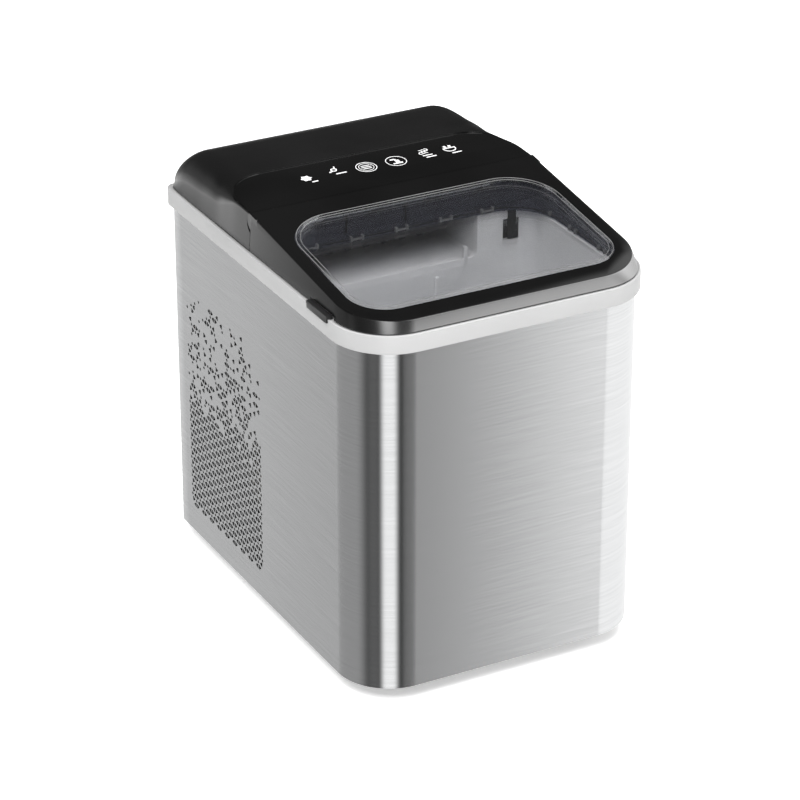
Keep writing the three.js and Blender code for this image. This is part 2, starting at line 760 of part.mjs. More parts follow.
function makeCondenser() {
  const { x0, x1, y0, y1, z0, z1 } = COIL;
  const fins = [];
  for (let i = 0; i < 10; i++) {
    const y = y0 + 2 + (i * (y1 - y0 - 5)) / 9;
    fins.push(block(x0, x1, y, y + 1, z0, z1));
  }
  const rows = [];
  for (let i = 0; i < 4; i++) {
    const z = z0 + 18 + i * 30;
    rows.push(block(x0 + 5, x1 - 5, y0, y1, z - 3, z + 3));
  }
  return join(rows[0], ...fins, ...rows.slice(1));
}

function makeShroud() {
  const { y, z, r } = FAN;
  const plate = block(-87, -84.6, COIL.y0, COIL.y1, COIL.z0, COIL.z1);
  const ring = cut(rod("x", -86, -58, y, z, r + 5, 28), rod("x", -90, -50, y, z, r + 2.6, 28));
  return cut(join(plate, ring), rod("x", -90, -80, y, z, r + 2.6, 28));
}

function makeFanBlades() {
  const { x, y, z, r } = FAN;
  const blades = [];
  for (let i = 0; i < 5; i++) {
    const blade = new THREE.BoxGeometry(2, 24, r - 8);
    blade.translate(0, 0, (r - 8) / 2 + 8);
    const matrix = new THREE.Matrix4().makeRotationX((i * 2 * Math.PI) / 5);
    const pitch = new THREE.Matrix4().makeRotationZ(0.6);
    blade.applyMatrix4(pitch).applyMatrix4(matrix).translate(x, y, z);
    blades.push(solid(blade));
  }
  const hub = rod("x", x - 8, x + 8, y, z, 14, 18);
  return cut(join(hub, ...blades), rod("x", x, x + 12, y, z, 2.4, 10));
}

function makeFanMotor() {
  const { x, y, z } = FAN;
  return join(rod("x", x + 12, x + 34, y, z, 20, 18), rod("x", x + 1, x + 14, y, z, 2, 10));
}

// Three arms from the shroud's ring to a plate behind the motor.
function makeMotorArms() {
  const { x, y, z, r } = FAN;
  const back = cut(rod("x", x + 34.3, x + 37, y, z, 22, 18), rod("x", x + 30, x + 40, y, z, 9, 12));
  const arms = [];
  for (let i = 0; i < 3; i++) {
    const arm = join(
      block(x + 34.3, x + 37, y - 4, y + 4, z + 18, z + r + 7),
      block(x + 2, x + 37, y - 4, y + 4, z + r + 4, z + r + 7),
    );
    const turn = -45 + i * 112.5;
    arms.push(arm.translate([0, -y, -z]).rotate([turn, 0, 0]).translate([0, y, z]));
  }
  return join(back, ...arms);
}

const dischargeLine = [
  [30, 60, 153],
  [30, 60, 170],
  [0, 40, 184],
  [-50, 26, 184],
  [-92, 18, 180],
  [-96, 18, 167.5],
];
const suctionLine = [
  [58, 100, 153.2],
  [58, 100, 176],
  [50, 108, 212],
  [46, 100, 252],
  [50, 74, 283.5],
  [50, 44, 284.5],
  [44, 34.5, 283.5],
  [38.5, 34, 283.5],
];
const liquidLine = [
  [-96, 121, 38.6],
  [-94, 124, 31],
  [-64, 130, 28],
  [-38, 130, 40],
  [-34, 126, 61.4],
];
const capillary = [
  [-34, 126, 123],
  [-38, 130, 150],
  [-68, 124, 190],
  [-84, 112, 236],
  [-84, 88, 280],
  [-83, 60, 284.5],
  [-80, 38, 284],
];

function makeFilterDrier() {
  return turned([[0, 62.4], [3, 62.4], [9, 70], [9, 112], [3, 122.6], [0, 122.6]], -34, 126, 14);
}

function makeHotGasValve() {
  return join(
    block(-2, 22, 100, 122, 170, 194),
    rod("z", 193, 204, 10, 111, 6, 12),
    rod("y", 92, 101, 10, 176, 4, 10),
  );
}

// ---------------------------------------------------------------- electrics
function makeControlBoard() {
  const board = block(-72, 72, 28, 58, 293.4, 295);
  const pads = [];
  for (let i = 0; i < 6; i++) {
    const x = -55 + i * 22;
    pads.push(block(x - 4, x + 4, 38, 46, 294.5, 296.6));
  }
  return join(board, ...pads);
}

function makePowerBoard() {
  return join(
    block(-66, -6, 124.5, 126.3, 215, 268),
    block(-60, -40, 106, 125, 222, 240),
    block(-34, -22, 112, 125, 222, 236),
    rod("y", 110, 125, -28, 252, 7, 12),
    block(-58, -40, 114, 125, 246, 258),
  );
}

const makeLidSwitch = () => join(block(98, 104, 17, 24, 276.2, 287), block(100, 102, 14.5, 18, 280, 284));

// ---------------------------------------------------------------- assembly
const STEEL = 0xb9bbbd;
const BLACK = 0x0c0c0d;
const GREY_PLASTIC = 0x9a9ea2;
const COPPER = 0xb0683c;
const GALVANISED = 0x8f9396;
const RUBBER = 0x151515;
const BOARD_GREEN = 0x1d5a36;

add("outer_wrap", makeWrap(), STEEL, 0.34, 1);
add("base_pan", makeBasePan(), 0x2a2b2c, 0.6);
for (const [name, [x, y]] of Object.entries(feet)) add(name, makeFoot(x, y), RUBBER, 0.85);
add("rear_panel", makeRearPanel(), 0x1c1d1e, 0.5);
add("rear_grille", makeRearGrille(), 0x18191a, 0.45);
screwPlaces().forEach(([x, z], i) => add(`rear_screw_${i + 1}`, makeScrew(x, z), GALVANISED, 0.3, 1));
add("power_inlet", makePowerInlet(), 0x141414, 0.5);

add("upper_frame", makeUpperFrame(), 0xe4e5e6, 0.4);
add("rear_hood", makeHood(), BLACK, 0.3);
add("control_panel", makePanel(), 0x060606, 0.08);

add("lid_frame", cut(makeLidFrame(), wallSlot(-1), wallSlot(1)), BLACK, 0.15);
add("lid_window", makeWindow(), 0x9aa0a8, 0.05, 0, { transparent: true, opacity: 0.35 });
add("window_retainer", makeWindowRetainer(), 0x2a2c33, 0.1, 0, { transparent: true, opacity: 0.7 });
for (const [side, word] of [[-1, "left"], [1, "right"]]) {
  add(`lid_tab_${word}`, makeLidTab(side), 0x101011, 0.4);
  add(`lid_hinge_bracket_${word}`, makeHingeBracket(side), 0x202122, 0.5);
}

add("water_tank", makeTank(), GREY_PLASTIC, 0.5);
add("ice_chamber", makeIceChamber(), GREY_PLASTIC, 0.5);
add("tank_insulation", makeInsulation(), 0xd9d2bf, 0.9);
add("ice_basket", makeBasket(), 0xb9bdc1, 0.4);
add("evaporator", makeEvaporator(), COPPER, 0.3, 1);
add("water_tray", makeWaterTray(), 0x33363a, 0.5);
add("ice_rake", makeIceRake(), 0x3a3d41, 0.5);
add("tray_gear_motor", makeTrayMotor(), 0xc4c6c8, 0.4, 0.6);
add("ice_sensor_emitter", makeIrSensor(80, 1.6), 0x0b0b0c, 0.3);
add("float_stem", makeFloatStem(), 0xd5d7d9, 0.5);
add("level_float", makeFloat(), 0xe8e8e8, 0.6);
add("chamber_cover", makeChamberCover(), 0x5c6064, 0.6);

add("water_pump", makePump(), 0x26282b, 0.5);
add("pump_inlet_hose", pipe(pumpInlet, 4, 14), 0xc9ccd0, 0.3);
add("pump_outlet_hose", pipe(pumpOutlet, 4, 14), 0xc9ccd0, 0.3);
add("drain_hose", pipe(drainLine, 5, 16), 0xc9ccd0, 0.3);
add("drain_spout", makeDrainSpout(), 0x1b1b1c, 0.5);
add("drain_plug", makeDrainPlug(), RUBBER, 0.8);

add("compressor", makeCompressor(), 0x101113, 0.4, 0.3);
grommetPlaces().forEach((place, i) => add(`compressor_grommet_${i + 1}`, makeGrommet(place), RUBBER, 0.9));
add("terminal_cover", makeTerminalCover(), 0x1a1b1c, 0.6);
add("condenser", makeCondenser(), 0xb4b6b8, 0.4, 1);
add("fan_shroud", join(makeShroud(), makeMotorArms()), 0x1e1f20, 0.6);
add("fan_blades", makeFanBlades(), 0x3b3d40, 0.5);
add("fan_motor", makeFanMotor(), GALVANISED, 0.4, 0.8);
add("discharge_line", pipe(dischargeLine, 2.5, 14), COPPER, 0.3, 1);
add("suction_line", pipe(suctionLine, 3, 16), COPPER, 0.3, 1);
add("liquid_line", pipe(liquidLine, 2.5, 12), COPPER, 0.3, 1);
add("capillary_tube", pipe(capillary, 1.5, 16), COPPER, 0.3, 1);
add("filter_drier", makeFilterDrier(), COPPER, 0.3, 1);
add("hot_gas_valve", makeHotGasValve(), 0xb08a3c, 0.35, 0.8);

add("control_board", makeControlBoard(), BOARD_GREEN, 0.5);
add("power_board", makePowerBoard(), BOARD_GREEN, 0.5);
add("lid_switch", makeLidSwitch(), 0x151516, 0.5);

export default iceMaker;
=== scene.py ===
import json
import math
import random

import bmesh
import bpy
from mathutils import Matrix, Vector, geometry


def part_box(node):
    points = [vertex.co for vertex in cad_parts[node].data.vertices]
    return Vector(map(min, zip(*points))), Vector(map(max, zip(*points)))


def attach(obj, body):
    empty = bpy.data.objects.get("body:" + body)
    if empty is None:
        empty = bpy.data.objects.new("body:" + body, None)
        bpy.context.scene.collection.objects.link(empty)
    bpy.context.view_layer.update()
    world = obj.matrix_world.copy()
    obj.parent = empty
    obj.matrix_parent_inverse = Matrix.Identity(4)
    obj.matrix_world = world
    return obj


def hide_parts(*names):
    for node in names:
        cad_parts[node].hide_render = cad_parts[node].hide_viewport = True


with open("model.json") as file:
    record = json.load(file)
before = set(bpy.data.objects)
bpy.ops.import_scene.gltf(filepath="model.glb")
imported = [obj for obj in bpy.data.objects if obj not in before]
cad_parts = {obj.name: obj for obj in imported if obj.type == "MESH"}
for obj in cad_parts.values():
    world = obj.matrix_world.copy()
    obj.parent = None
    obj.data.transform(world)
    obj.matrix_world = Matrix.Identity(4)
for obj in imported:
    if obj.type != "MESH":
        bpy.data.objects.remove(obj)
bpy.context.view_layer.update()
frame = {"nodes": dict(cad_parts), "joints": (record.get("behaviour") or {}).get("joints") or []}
rng = random.Random(7)

MM = 0.001
SCENE = bpy.context.scene


# ---------------------------------------------------------------- places from the CAD frame
def box_mm(node):
    lo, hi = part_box(node)
    return lo / MM, hi / MM


WRAP_LO, WRAP_HI = box_mm("outer_wrap")
BAND_LO, BAND_HI = box_mm("upper_frame")
LID_LO, LID_HI = box_mm("lid_frame")
HOOD_LO = box_mm("rear_hood")[0]
PANEL_HI = box_mm("control_panel")[1]
PANE_LO, PANE_HI = box_mm("lid_window")
TANK_LO, TANK_HI = box_mm("water_tank")
JOINT = {j["name"]: j for j in frame["joints"]}
HINGE_Y, HINGE_Z = (c / MM for c in JOINT["lid_hinge"]["pos_m"][1:])

# Sizes in millimetres; slopes are rise over run toward the back.
GAP = 0.3
WRAP_CORNER = 38.5
WRAP_REAR_CORNER = 5.0
RETURN_WIDTH = 14.0
BAND_CORNER = 42.0
BAND_REAR_CORNER = 7.0
TOP_HALF = 108.3
TOP_FRONT = -145.8
TOP_CORNER = 38.6
LID_SLOPE = 0.121
PANEL_SLOPE = 0.055
PANEL_FRONT = 16.0
PANEL_CORNER = 33.0
PANEL_THICK = 2.0
LID_WALL_REAR = 13.25
LID_ROUND = 7.5
LID_CLEAR = 0.30
PANE_FRONT_R = 26.0
PANE_REAR_R = 36.0
OPENING = {"x": PANE_HI.x + 0.4, "front": PANE_LO.y - 0.4, "rear": PANE_HI.y + 0.4}


def lid_top(y):
    return 281.9 + LID_SLOPE * (y + 150.0)


def panel_top(y):
    return lid_top(PANEL_FRONT) + PANEL_SLOPE * (y - PANEL_FRONT)


# ---------------------------------------------------------------- mesh helpers
def link(name, mesh):
    piece = bpy.data.objects.new(name, mesh)
    SCENE.collection.objects.link(piece)
    return piece


def mesh_piece(name, points, faces, smooth=None):
    """A mesh from points in millimetres."""
    mesh = bpy.data.meshes.new(name)
    mesh.from_pydata([tuple(c * MM for c in p) for p in points], [], faces)
    mesh.update()
    if smooth is not None:
        shade(mesh, smooth)
    return link(name, mesh)


def shade(mesh, degrees):
    for face in mesh.polygons:
        face.use_smooth = True
    mesh.set_sharp_from_angle(angle=math.radians(degrees))


def outward(piece):
    bm = bmesh.new()
    bm.from_mesh(piece.data)
    bmesh.ops.recalc_face_normals(bm, faces=bm.faces)
    bm.to_mesh(piece.data)
    bm.free()
    return piece


def rounded(x0, x1, y0, y1, front_r, rear_r, n=14):
    """Corner points of a rounded rectangle in plan, from the rear left corner round the front."""
    out = []
    for cx, cy, r, start in (
        (x0 + front_r, y0 + front_r, front_r, math.pi),
        (x1 - front_r, y0 + front_r, front_r, 1.5 * math.pi),
        (x1 - rear_r, y1 - rear_r, rear_r, 0.0),
        (x0 + rear_r, y1 - rear_r, rear_r, 0.5 * math.pi),
    ):
        for i in range(n + 1):
            a = start + 0.5 * math.pi * i / n
            out.append((cx + r * math.cos(a), cy + r * math.sin(a)))
    return out


def lifted(outline, height):
    return [(x, y, height(y) if callable(height) else height) for x, y in outline]


def loft(name, rings, smooth=30, hoop=False):
    """Rings of equal point counts joined in order; hoop joins the last ring to the first."""
    n = len(rings[0])
    points = [p for ring in rings for p in ring]
    faces = []
    spans = len(rings) if hoop else len(rings) - 1
    for k in range(spans):
        a, b = k * n, ((k + 1) % len(rings)) * n
        for i in range(n):
            j = (i + 1) % n
            faces.append((a + i, a + j, b + j, b + i))
    if not hoop:
        faces.append(tuple(range(n - 1, -1, -1)))
        faces.append(tuple((len(rings) - 1) * n + i for i in range(n)))
    return outward(mesh_piece(name, points, faces, smooth))


def slab(name, outline, low, high):
    return loft(name, [lifted(outline, low), lifted(outline, high)])


def block(name, x0, x1, y0, y1, z0, z1):
    return slab(name, [(x0, y0), (x1, y0), (x1, y1), (x0, y1)], z0, z1)


def rod_x(name, x0, x1, y, z, r, sides=96):
    ring = [(2 * math.pi * i / sides) for i in range(sides)]
    ends = [[(x, y + r * math.cos(a), z + r * math.sin(a)) for a in ring] for x in (x0, x1)]
    return loft(name, ends)


def boolean(target, tool, operation):
    modifier = target.modifiers.new("shape", "BOOLEAN")
    modifier.operation = operation
    modifier.object = tool
    modifier.solver = "EXACT"
    applied(target)
    bpy.data.objects.remove(tool)
    return target


def applied(piece):
    """Turns a piece's modifiers into its mesh."""
    graph = bpy.context.evaluated_depsgraph_get()
    mesh = bpy.data.meshes.new_from_object(piece.evaluated_get(graph))
    piece.modifiers.clear()
    piece.data = mesh
    return piece


def cut(target, *tools):
    for tool in tools:
        boolean(target, tool, "DIFFERENCE")
    return target


def join(target, *tools):
    for tool in tools:
        boolean(target, tool, "UNION")
    return target


def merged(name, parts, smooth=30):
    """Several separate closed bodies as one piece."""
    bm = bmesh.new()
    for part in parts:
        bm.from_mesh(part.data)
        bpy.data.objects.remove(part)
    mesh = bpy.data.meshes.new(name)
    bm.to_mesh(mesh)
    bm.free()
    shade(mesh, smooth)
    return link(name, mesh)


def bevelled(piece, width, segments=3, angle=30, smooth=40):
    modifier = piece.modifiers.new("edges", "BEVEL")
    modifier.width = width * MM
    modifier.segments = segments
    modifier.limit_method = "ANGLE"
    modifier.angle_limit = math.radians(angle)
    modifier.harden_normals = False
    applied(piece)
    shade(piece.data, smooth)
    return piece


def finish_piece(piece, body, slot, material, *nodes):
    piece.data.materials.clear()
    piece.data.materials.append(material)
    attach(piece, body)
    if nodes:
        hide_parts(*nodes)
    return piece


# ---------------------------------------------------------------- materials
def new_material(name):
    material = bpy.data.materials.new(name)
    material.use_nodes = True
    nodes = material.node_tree.nodes
    nodes.clear()
    return material, nodes, material.node_tree.links


def value_range(nodes, links, source, low, high, start=0.3, end=0.7):
    node = nodes.new("ShaderNodeMapRange")
    node.inputs["From Min"].default_value = start
    node.inputs["From Max"].default_value = end
    node.inputs["To Min"].default_value = low
    node.inputs["To Max"].default_value = high
    links.new(source, node.inputs["Value"])
    return node.outputs["Result"]


def colour_range(nodes, links, source, first, second, start=0.35, end=0.65):
    ramp = nodes.new("ShaderNodeValToRGB")
    ramp.color_ramp.elements[0].position = start
    ramp.color_ramp.elements[0].color = (*first, 1)
    ramp.color_ramp.elements[1].position = end
    ramp.color_ramp.elements[1].color = (*second, 1)
    links.new(source, ramp.inputs["Fac"])
    return ramp.outputs["Color"]


def noise(nodes, links, vector, scale, detail=3.0, roughness=0.55):
    node = nodes.new("ShaderNodeTexNoise")
    node.inputs["Scale"].default_value = scale
    node.inputs["Detail"].default_value = detail
    node.inputs["Roughness"].default_value = roughness
    links.new(vector, node.inputs["Vector"])
    return node.outputs["Fac"]


def stretched(nodes, links, source, scale):
    node = nodes.new("ShaderNodeMapping")
    node.inputs["Scale"].default_value = scale
    links.new(source, node.inputs["Vector"])
    return node.outputs["Vector"]


def bump(nodes, links, height, strength, distance):
    node = nodes.new("ShaderNodeBump")
    node.inputs["Strength"].default_value = strength
    node.inputs["Distance"].default_value = distance
    links.new(height, node.inputs["Height"])
    return node.outputs["Normal"]


def plastic(name, first, second, rough, grain=900.0, depth=0.00002, coat=0.0, metal=0.0,
            strength=0.25, ior=1.5):
    """Moulded plastic, rubber or paint: fine grain in the surface and a slow drift of tone."""
    material, nodes, links = new_material(name)
    out = nodes.new("ShaderNodeOutputMaterial")
    shader = nodes.new("ShaderNodeBsdfPrincipled")
    place = nodes.new("ShaderNodeTexCoord").outputs["Object"]
    drift = noise(nodes, links, place, 14.0, 2.0)
    fine = noise(nodes, links, place, grain, 2.0)
    links.new(colour_range(nodes, links, drift, first, second), shader.inputs["Base Color"])
    links.new(value_range(nodes, links, drift, rough[0], rough[1]), shader.inputs["Roughness"])
    links.new(bump(nodes, links, fine, strength, depth), shader.inputs["Normal"])
    shader.inputs["Metallic"].default_value = metal
    shader.inputs["Coat Weight"].default_value = coat
    shader.inputs["Coat Roughness"].default_value = 0.08
    shader.inputs["IOR"].default_value = ior
    links.new(shader.outputs["BSDF"], out.inputs["Surface"])
    return material


def brushed_steel():
    """Horizontal brushing: streaks along the sheet, and reflections drawn out up and down."""
    material, nodes, links = new_material("brushed_steel")
    out = nodes.new("ShaderNodeOutputMaterial")
    shader = nodes.new("ShaderNodeBsdfPrincipled")
    sheet = nodes.new("ShaderNodeUVMap")
    sheet.uv_map = "sheet"
    tangent = nodes.new("ShaderNodeTangent")
    tangent.direction_type = "UV_MAP"
    tangent.uv_map = "sheet"
    uv = sheet.outputs["UV"]
    streaks = noise(nodes, links, stretched(nodes, links, uv, (2200.0, 40.0, 1.0)), 1.0, 3.0, 0.7)
    bands = noise(nodes, links, stretched(nodes, links, uv, (700.0, 14.0, 1.0)), 1.0, 2.0, 0.6)
    blend = nodes.new("ShaderNodeMath")
    blend.operation = "MULTIPLY_ADD"
    blend.inputs[1].default_value = 0.55
    links.new(bands, blend.inputs[0])
    half = nodes.new("ShaderNodeMath")
    half.operation = "MULTIPLY"
    half.inputs[1].default_value = 0.45
    links.new(streaks, half.inputs[0])
    links.new(half.outputs[0], blend.inputs[2])
    mixed = blend.outputs[0]
    links.new(
        colour_range(nodes, links, mixed, (0.655, 0.66, 0.665), (0.735, 0.74, 0.745), 0.3, 0.7),
        shader.inputs["Base Color"],
    )
    links.new(value_range(nodes, links, mixed, 0.26, 0.22), shader.inputs["Roughness"])
    links.new(bump(nodes, links, streaks, 0.10, 0.00002), shader.inputs["Normal"])
    links.new(tangent.outputs["Tangent"], shader.inputs["Tangent"])
    shader.inputs["Metallic"].default_value = 1.0
    shader.inputs["Anisotropic"].default_value = 1.0
    links.new(shader.outputs["BSDF"], out.inputs["Surface"])
    return material


def facing_front(nodes, links, coordinates):
    """How far a surface faces the front, from -1 to 1."""
    split = nodes.new("ShaderNodeSeparateXYZ")
    links.new(coordinates.outputs["Normal"], split.inputs[0])
    turn = nodes.new("ShaderNodeMath")
    turn.operation = "MULTIPLY"
    turn.inputs[1].default_value = -1.0
    links.new(split.outputs[1], turn.inputs[0])
    return turn.outputs[0]


def moulded_cover(name, black, rough, start, end):
    """Black on top; the standing walls are metallic, with painted reflection in their grey: lighter
    toward the back, and lighter still where they face the front.
    """
    material, nodes, links = new_material(name)
    out = nodes.new("ShaderNodeOutputMaterial")
    top = nodes.new("ShaderNodeBsdfPrincipled")
    wall = nodes.new("ShaderNodeBsdfPrincipled")
    mix = nodes.new("ShaderNodeMixShader")
    coordinates = nodes.new("ShaderNodeTexCoord")
    place = coordinates.outputs["Object"]
    drift = noise(nodes, links, place, 14.0, 2.0)
    grain = bump(nodes, links, noise(nodes, links, place, 1500.0, 2.0), 0.2, 0.000006)
    links.new(
        colour_range(nodes, links, drift, grey(black), grey(black * 1.4)),
        top.inputs["Base Color"],
    )
    links.new(value_range(nodes, links, drift, rough, rough * 1.3), top.inputs["Roughness"])
    links.new(grain, top.inputs["Normal"])
    depth = nodes.new("ShaderNodeSeparateXYZ")
    links.new(place, depth.inputs[0])
    # Painted reflection: the walls' grey turns lighter toward the back, by place along y.
    sheen = value_range(nodes, links, depth.outputs[1], 0.0, 1.0, -0.12, 0.13)
    painted_sheen_colour = colour_range(nodes, links, sheen, grey(0.085), grey(0.35), 0.0, 1.0)
    # Painted reflection: walls that face the front turn a lighter grey.
    toward = facing_front(nodes, links, coordinates)
    front_painted_sheen = value_range(nodes, links, toward, 0.0, 1.0, 0.35, 0.75)
    tone = nodes.new("ShaderNodeMix")
    tone.data_type = "RGBA"
    tone.inputs[7].default_value = (0.50, 0.50, 0.50, 1)
    links.new(front_painted_sheen, tone.inputs[0])
    links.new(painted_sheen_colour, tone.inputs[6])
    links.new(tone.outputs[2], wall.inputs["Base Color"])
    links.new(value_range(nodes, links, drift, 0.20, 0.24), wall.inputs["Roughness"])
    links.new(grain, wall.inputs["Normal"])
    wall.inputs["Metallic"].default_value = 1.0
    split = nodes.new("ShaderNodeSeparateXYZ")
    links.new(coordinates.outputs["Normal"], split.inputs[0])
    links.new(value_range(nodes, links, split.outputs[2], 0.0, 1.0, start, end), mix.inputs["Fac"])
    links.new(wall.outputs["BSDF"], mix.inputs[1])
    links.new(top.outputs["BSDF"], mix.inputs[2])
    links.new(mix.outputs["Shader"], out.inputs["Surface"])
    return material


def clear_sheet(name, tint, edge_tint, rough, reflect=1.0, haze=None):
    """Thin clear plastic: what is behind shows through a tint, with a sheen at grazing angles."""
    material, nodes, links = new_material(name)
    out = nodes.new("ShaderNodeOutputMaterial")
    through = nodes.new("ShaderNodeBsdfTransparent")
    gloss = nodes.new("ShaderNodeBsdfGlossy")
    mix = nodes.new("ShaderNodeMixShader")
    fresnel = nodes.new("ShaderNodeFresnel")
    fresnel.inputs["IOR"].default_value = 1.45
    place = nodes.new("ShaderNodeTexCoord").outputs["Object"]
    drift = noise(nodes, links, place, 30.0, 2.0)
    links.new(colour_range(nodes, links, drift, tint, edge_tint), through.inputs["Color"])
    links.new(value_range(nodes, links, drift, rough, rough * 1.6), gloss.inputs["Roughness"])
    scale = nodes.new("ShaderNodeMath")
    scale.operation = "MULTIPLY"
    scale.inputs[1].default_value = reflect
    links.new(fresnel.outputs["Fac"], scale.inputs[0])
    links.new(scale.outputs[0], mix.inputs["Fac"])
    links.new(through.outputs["BSDF"], mix.inputs[1])
    links.new(gloss.outputs["BSDF"], mix.inputs[2])
    surface = mix.outputs["Shader"]
    if haze:
        cloud = nodes.new("ShaderNodeBsdfDiffuse")
        cloud.inputs["Color"].default_value = (*haze, 1)
        both = nodes.new("ShaderNodeAddShader")
        links.new(surface, both.inputs[0])
        links.new(cloud.outputs["BSDF"], both.inputs[1])
        surface = both.outputs["Shader"]
    links.new(surface, out.inputs["Surface"])
    return material


def grey(v):
    return (v, v, v)


STEEL = brushed_steel()
WHITE = plastic("white_frame", grey(0.29), grey(0.31), (0.30, 0.38), 1400, 0.00001, coat=0.15)
LID_BLACK = plastic("lid_gloss", grey(0.0022), grey(0.0035), (0.07, 0.11), 500, 0.000004, coat=0.4)
PANEL_BLACK = plastic("panel_gloss", grey(0.0022), grey(0.0035), (0.10, 0.14), 500, 0.000003)
# The walls of both covers carry painted reflection in their colour, from moulded_cover.
HOOD_BLACK = moulded_cover("hood_black", 0.0045, 0.19, 0.10, 0.42)
LID_WALL = moulded_cover("lid_wall", 0.004, 0.10, 0.66, 0.86)
TAB_BLACK = plastic("tab_black", grey(0.010), grey(0.014), (0.25, 0.35), 1200, 0.00001)
MATTE_BLACK = plastic("matte_black", grey(0.018), grey(0.026), (0.45, 0.6), 1100, 0.00004)
RUBBER = plastic("rubber", grey(0.014), grey(0.022), (0.7, 0.85), 1500, 0.00004)
TANK_GREY = plastic("tank_grey", (0.70, 0.70, 0.70), (0.75, 0.75, 0.75), (0.34, 0.42), 1300,
                    0.00001)
BASKET_GREY = plastic("basket_grey", (0.52, 0.54, 0.56), (0.60, 0.62, 0.64), (0.3, 0.4), 1200,
                      0.00002)
FOAM = plastic("foam", (0.62, 0.58, 0.44), (0.74, 0.70, 0.56), (0.85, 0.95), 260, 0.0006,
               strength=0.6)
DARK_GREY = plastic("dark_grey_plastic", grey(0.07), grey(0.095), (0.38, 0.5), 1200, 0.00003)
WHITE_PLASTIC = plastic("white_plastic", grey(0.74), grey(0.82), (0.4, 0.5), 1300, 0.00002)
COPPER = plastic("copper", (0.62, 0.26, 0.13), (0.80, 0.40, 0.24), (0.22, 0.38), 500, 0.00002,
                 metal=1.0)
BRASS = plastic("brass", (0.60, 0.42, 0.16), (0.72, 0.54, 0.24), (0.25, 0.4), 700, 0.00002,
                metal=1.0)
BARE_METAL = plastic("bare_metal", grey(0.50), grey(0.60), (0.28, 0.42), 900, 0.00002, metal=1.0)
ALUMINIUM = plastic("fin_aluminium", grey(0.66), grey(0.74), (0.3, 0.42), 800, 0.00001, metal=1.0)
PAINT = plastic("compressor_paint", grey(0.012), grey(0.02), (0.3, 0.42), 350, 0.00005, coat=0.3)
BOARD = plastic("circuit_board", (0.02, 0.12, 0.05), (0.03, 0.18, 0.08), (0.35, 0.5), 420, 0.00003)
HOSE = plastic("clear_hose", (0.55, 0.57, 0.58), (0.64, 0.66, 0.67), (0.3, 0.4), 900, 0.00002)
MARK_WHITE = plastic("mark_white", grey(0.62), grey(0.68), (0.5, 0.6), 1500, 0.000003)
RIM = plastic("window_rim", grey(0.16), grey(0.20), (0.12, 0.2), 900, 0.000004, coat=0.3)
CLEAR = clear_sheet("window_clear", (0.965, 0.967, 0.975), (0.975, 0.977, 0.985), 0.02, 0.6)
SMOKE = clear_sheet("window_smoke", (0.48, 0.485, 0.53), (0.52, 0.525, 0.57), 0.12, 0.35,
                    (0.030, 0.031, 0.038))


# ---------------------------------------------------------------- steel wrap with its vents
VENT_REAR = 119.3
VENT_COLUMNS = 19
VENT_ROWS = 46
COLUMN_PITCH = 6.35
ROW_PITCH = 3.70
VENT_BOTTOM = 35.9
VENT_FULL_TOP = 108  # below this height no hole is missing
VENT_FADE = 92  # height over which the field thins out
VENT_FRONT_THIN = 20  # in front of this y the field thins out further
HOLE_OFFSET = 4.35
HOLE_REACH = 2.65
HOLE_HALF_HEIGHT = 2.25
HOLE_BASE_SHARE = 0.62
HOLE_SIDE_KEPT, HOLE_CORNER_CUT = 0.82, 0.18  # shares of a triangle's side
DOT_R = 1.2
SHEET_THICK = 1.0
WELD_DISTANCE = 0.00002


def keep_hole(column, row):
    """Full at the bottom, then thinner and more clustered towards the top."""
    z = VENT_BOTTOM + row * ROW_PITCH
    if z < VENT_FULL_TOP:
        return True
    y = VENT_REAR - COLUMN_PITCH * column
    wave = math.sin(y * 0.11 + 1.3 * math.sin(z * 0.09))
    patch = 0.5 + 0.5 * wave * math.cos(z * 0.13 - y * 0.05)
    share = min((z - VENT_FULL_TOP) / VENT_FADE, 1.0)
    chance = 1.0 - 0.30 * min(share * 4, 1.0) - 0.62 * share * (0.35 + 0.9 * patch)
    if y < VENT_FRONT_THIN:
        chance -= 0.25 * share
    return rng.random() < chance


def vent_holes():
    """Rounded triangles in rows on each side of a dot, as (y, z) polygons."""
    holes = []
    for row in range(VENT_ROWS):
        z = VENT_BOTTOM + row * ROW_PITCH
        for column in range(VENT_COLUMNS):
            if (column - row) % 2:
                continue
            y = VENT_REAR - COLUMN_PITCH * column
            if row and keep_hole(column, row):
                holes.append([(y + DOT_R * math.cos(a), z + DOT_R * math.sin(a))
                              for a in (math.pi * (i + 0.5) / 3 for i in range(6))])
            for side in (-1, 1):
                if column + side * -1 < 0 or column + side * -1 >= VENT_COLUMNS:
                    continue
                if not keep_hole(column, row):
                    continue
                cy = y + side * HOLE_OFFSET
                corners = [(-side * HOLE_REACH, 0.0),
                           (side * HOLE_REACH * HOLE_BASE_SHARE, HOLE_HALF_HEIGHT),
                           (side * HOLE_REACH * HOLE_BASE_SHARE, -HOLE_HALF_HEIGHT)]
                if side > 0:
                    corners = [corners[0], corners[2], corners[1]]
                ring = []
                for i in range(3):
                    (ax, az), (bx, bz), (px, pz) = corners[i], corners[(i + 1) % 3], corners[i - 1]
                    for qx, qz in ((px, pz), (bx, bz)):
                        ring.append((cy + ax * HOLE_SIDE_KEPT + qx * HOLE_CORNER_CUT,
                                     z + az * HOLE_SIDE_KEPT + qz * HOLE_CORNER_CUT))
                if signed_area(ring) < 0:
                    ring.reverse()
                holes.append(ring)
    return holes


def signed_area(ring):
    return 0.5 * sum(a[0] * b[1] - b[0] * a[1] for a, b in zip(ring, ring[1:] + ring[:1]))


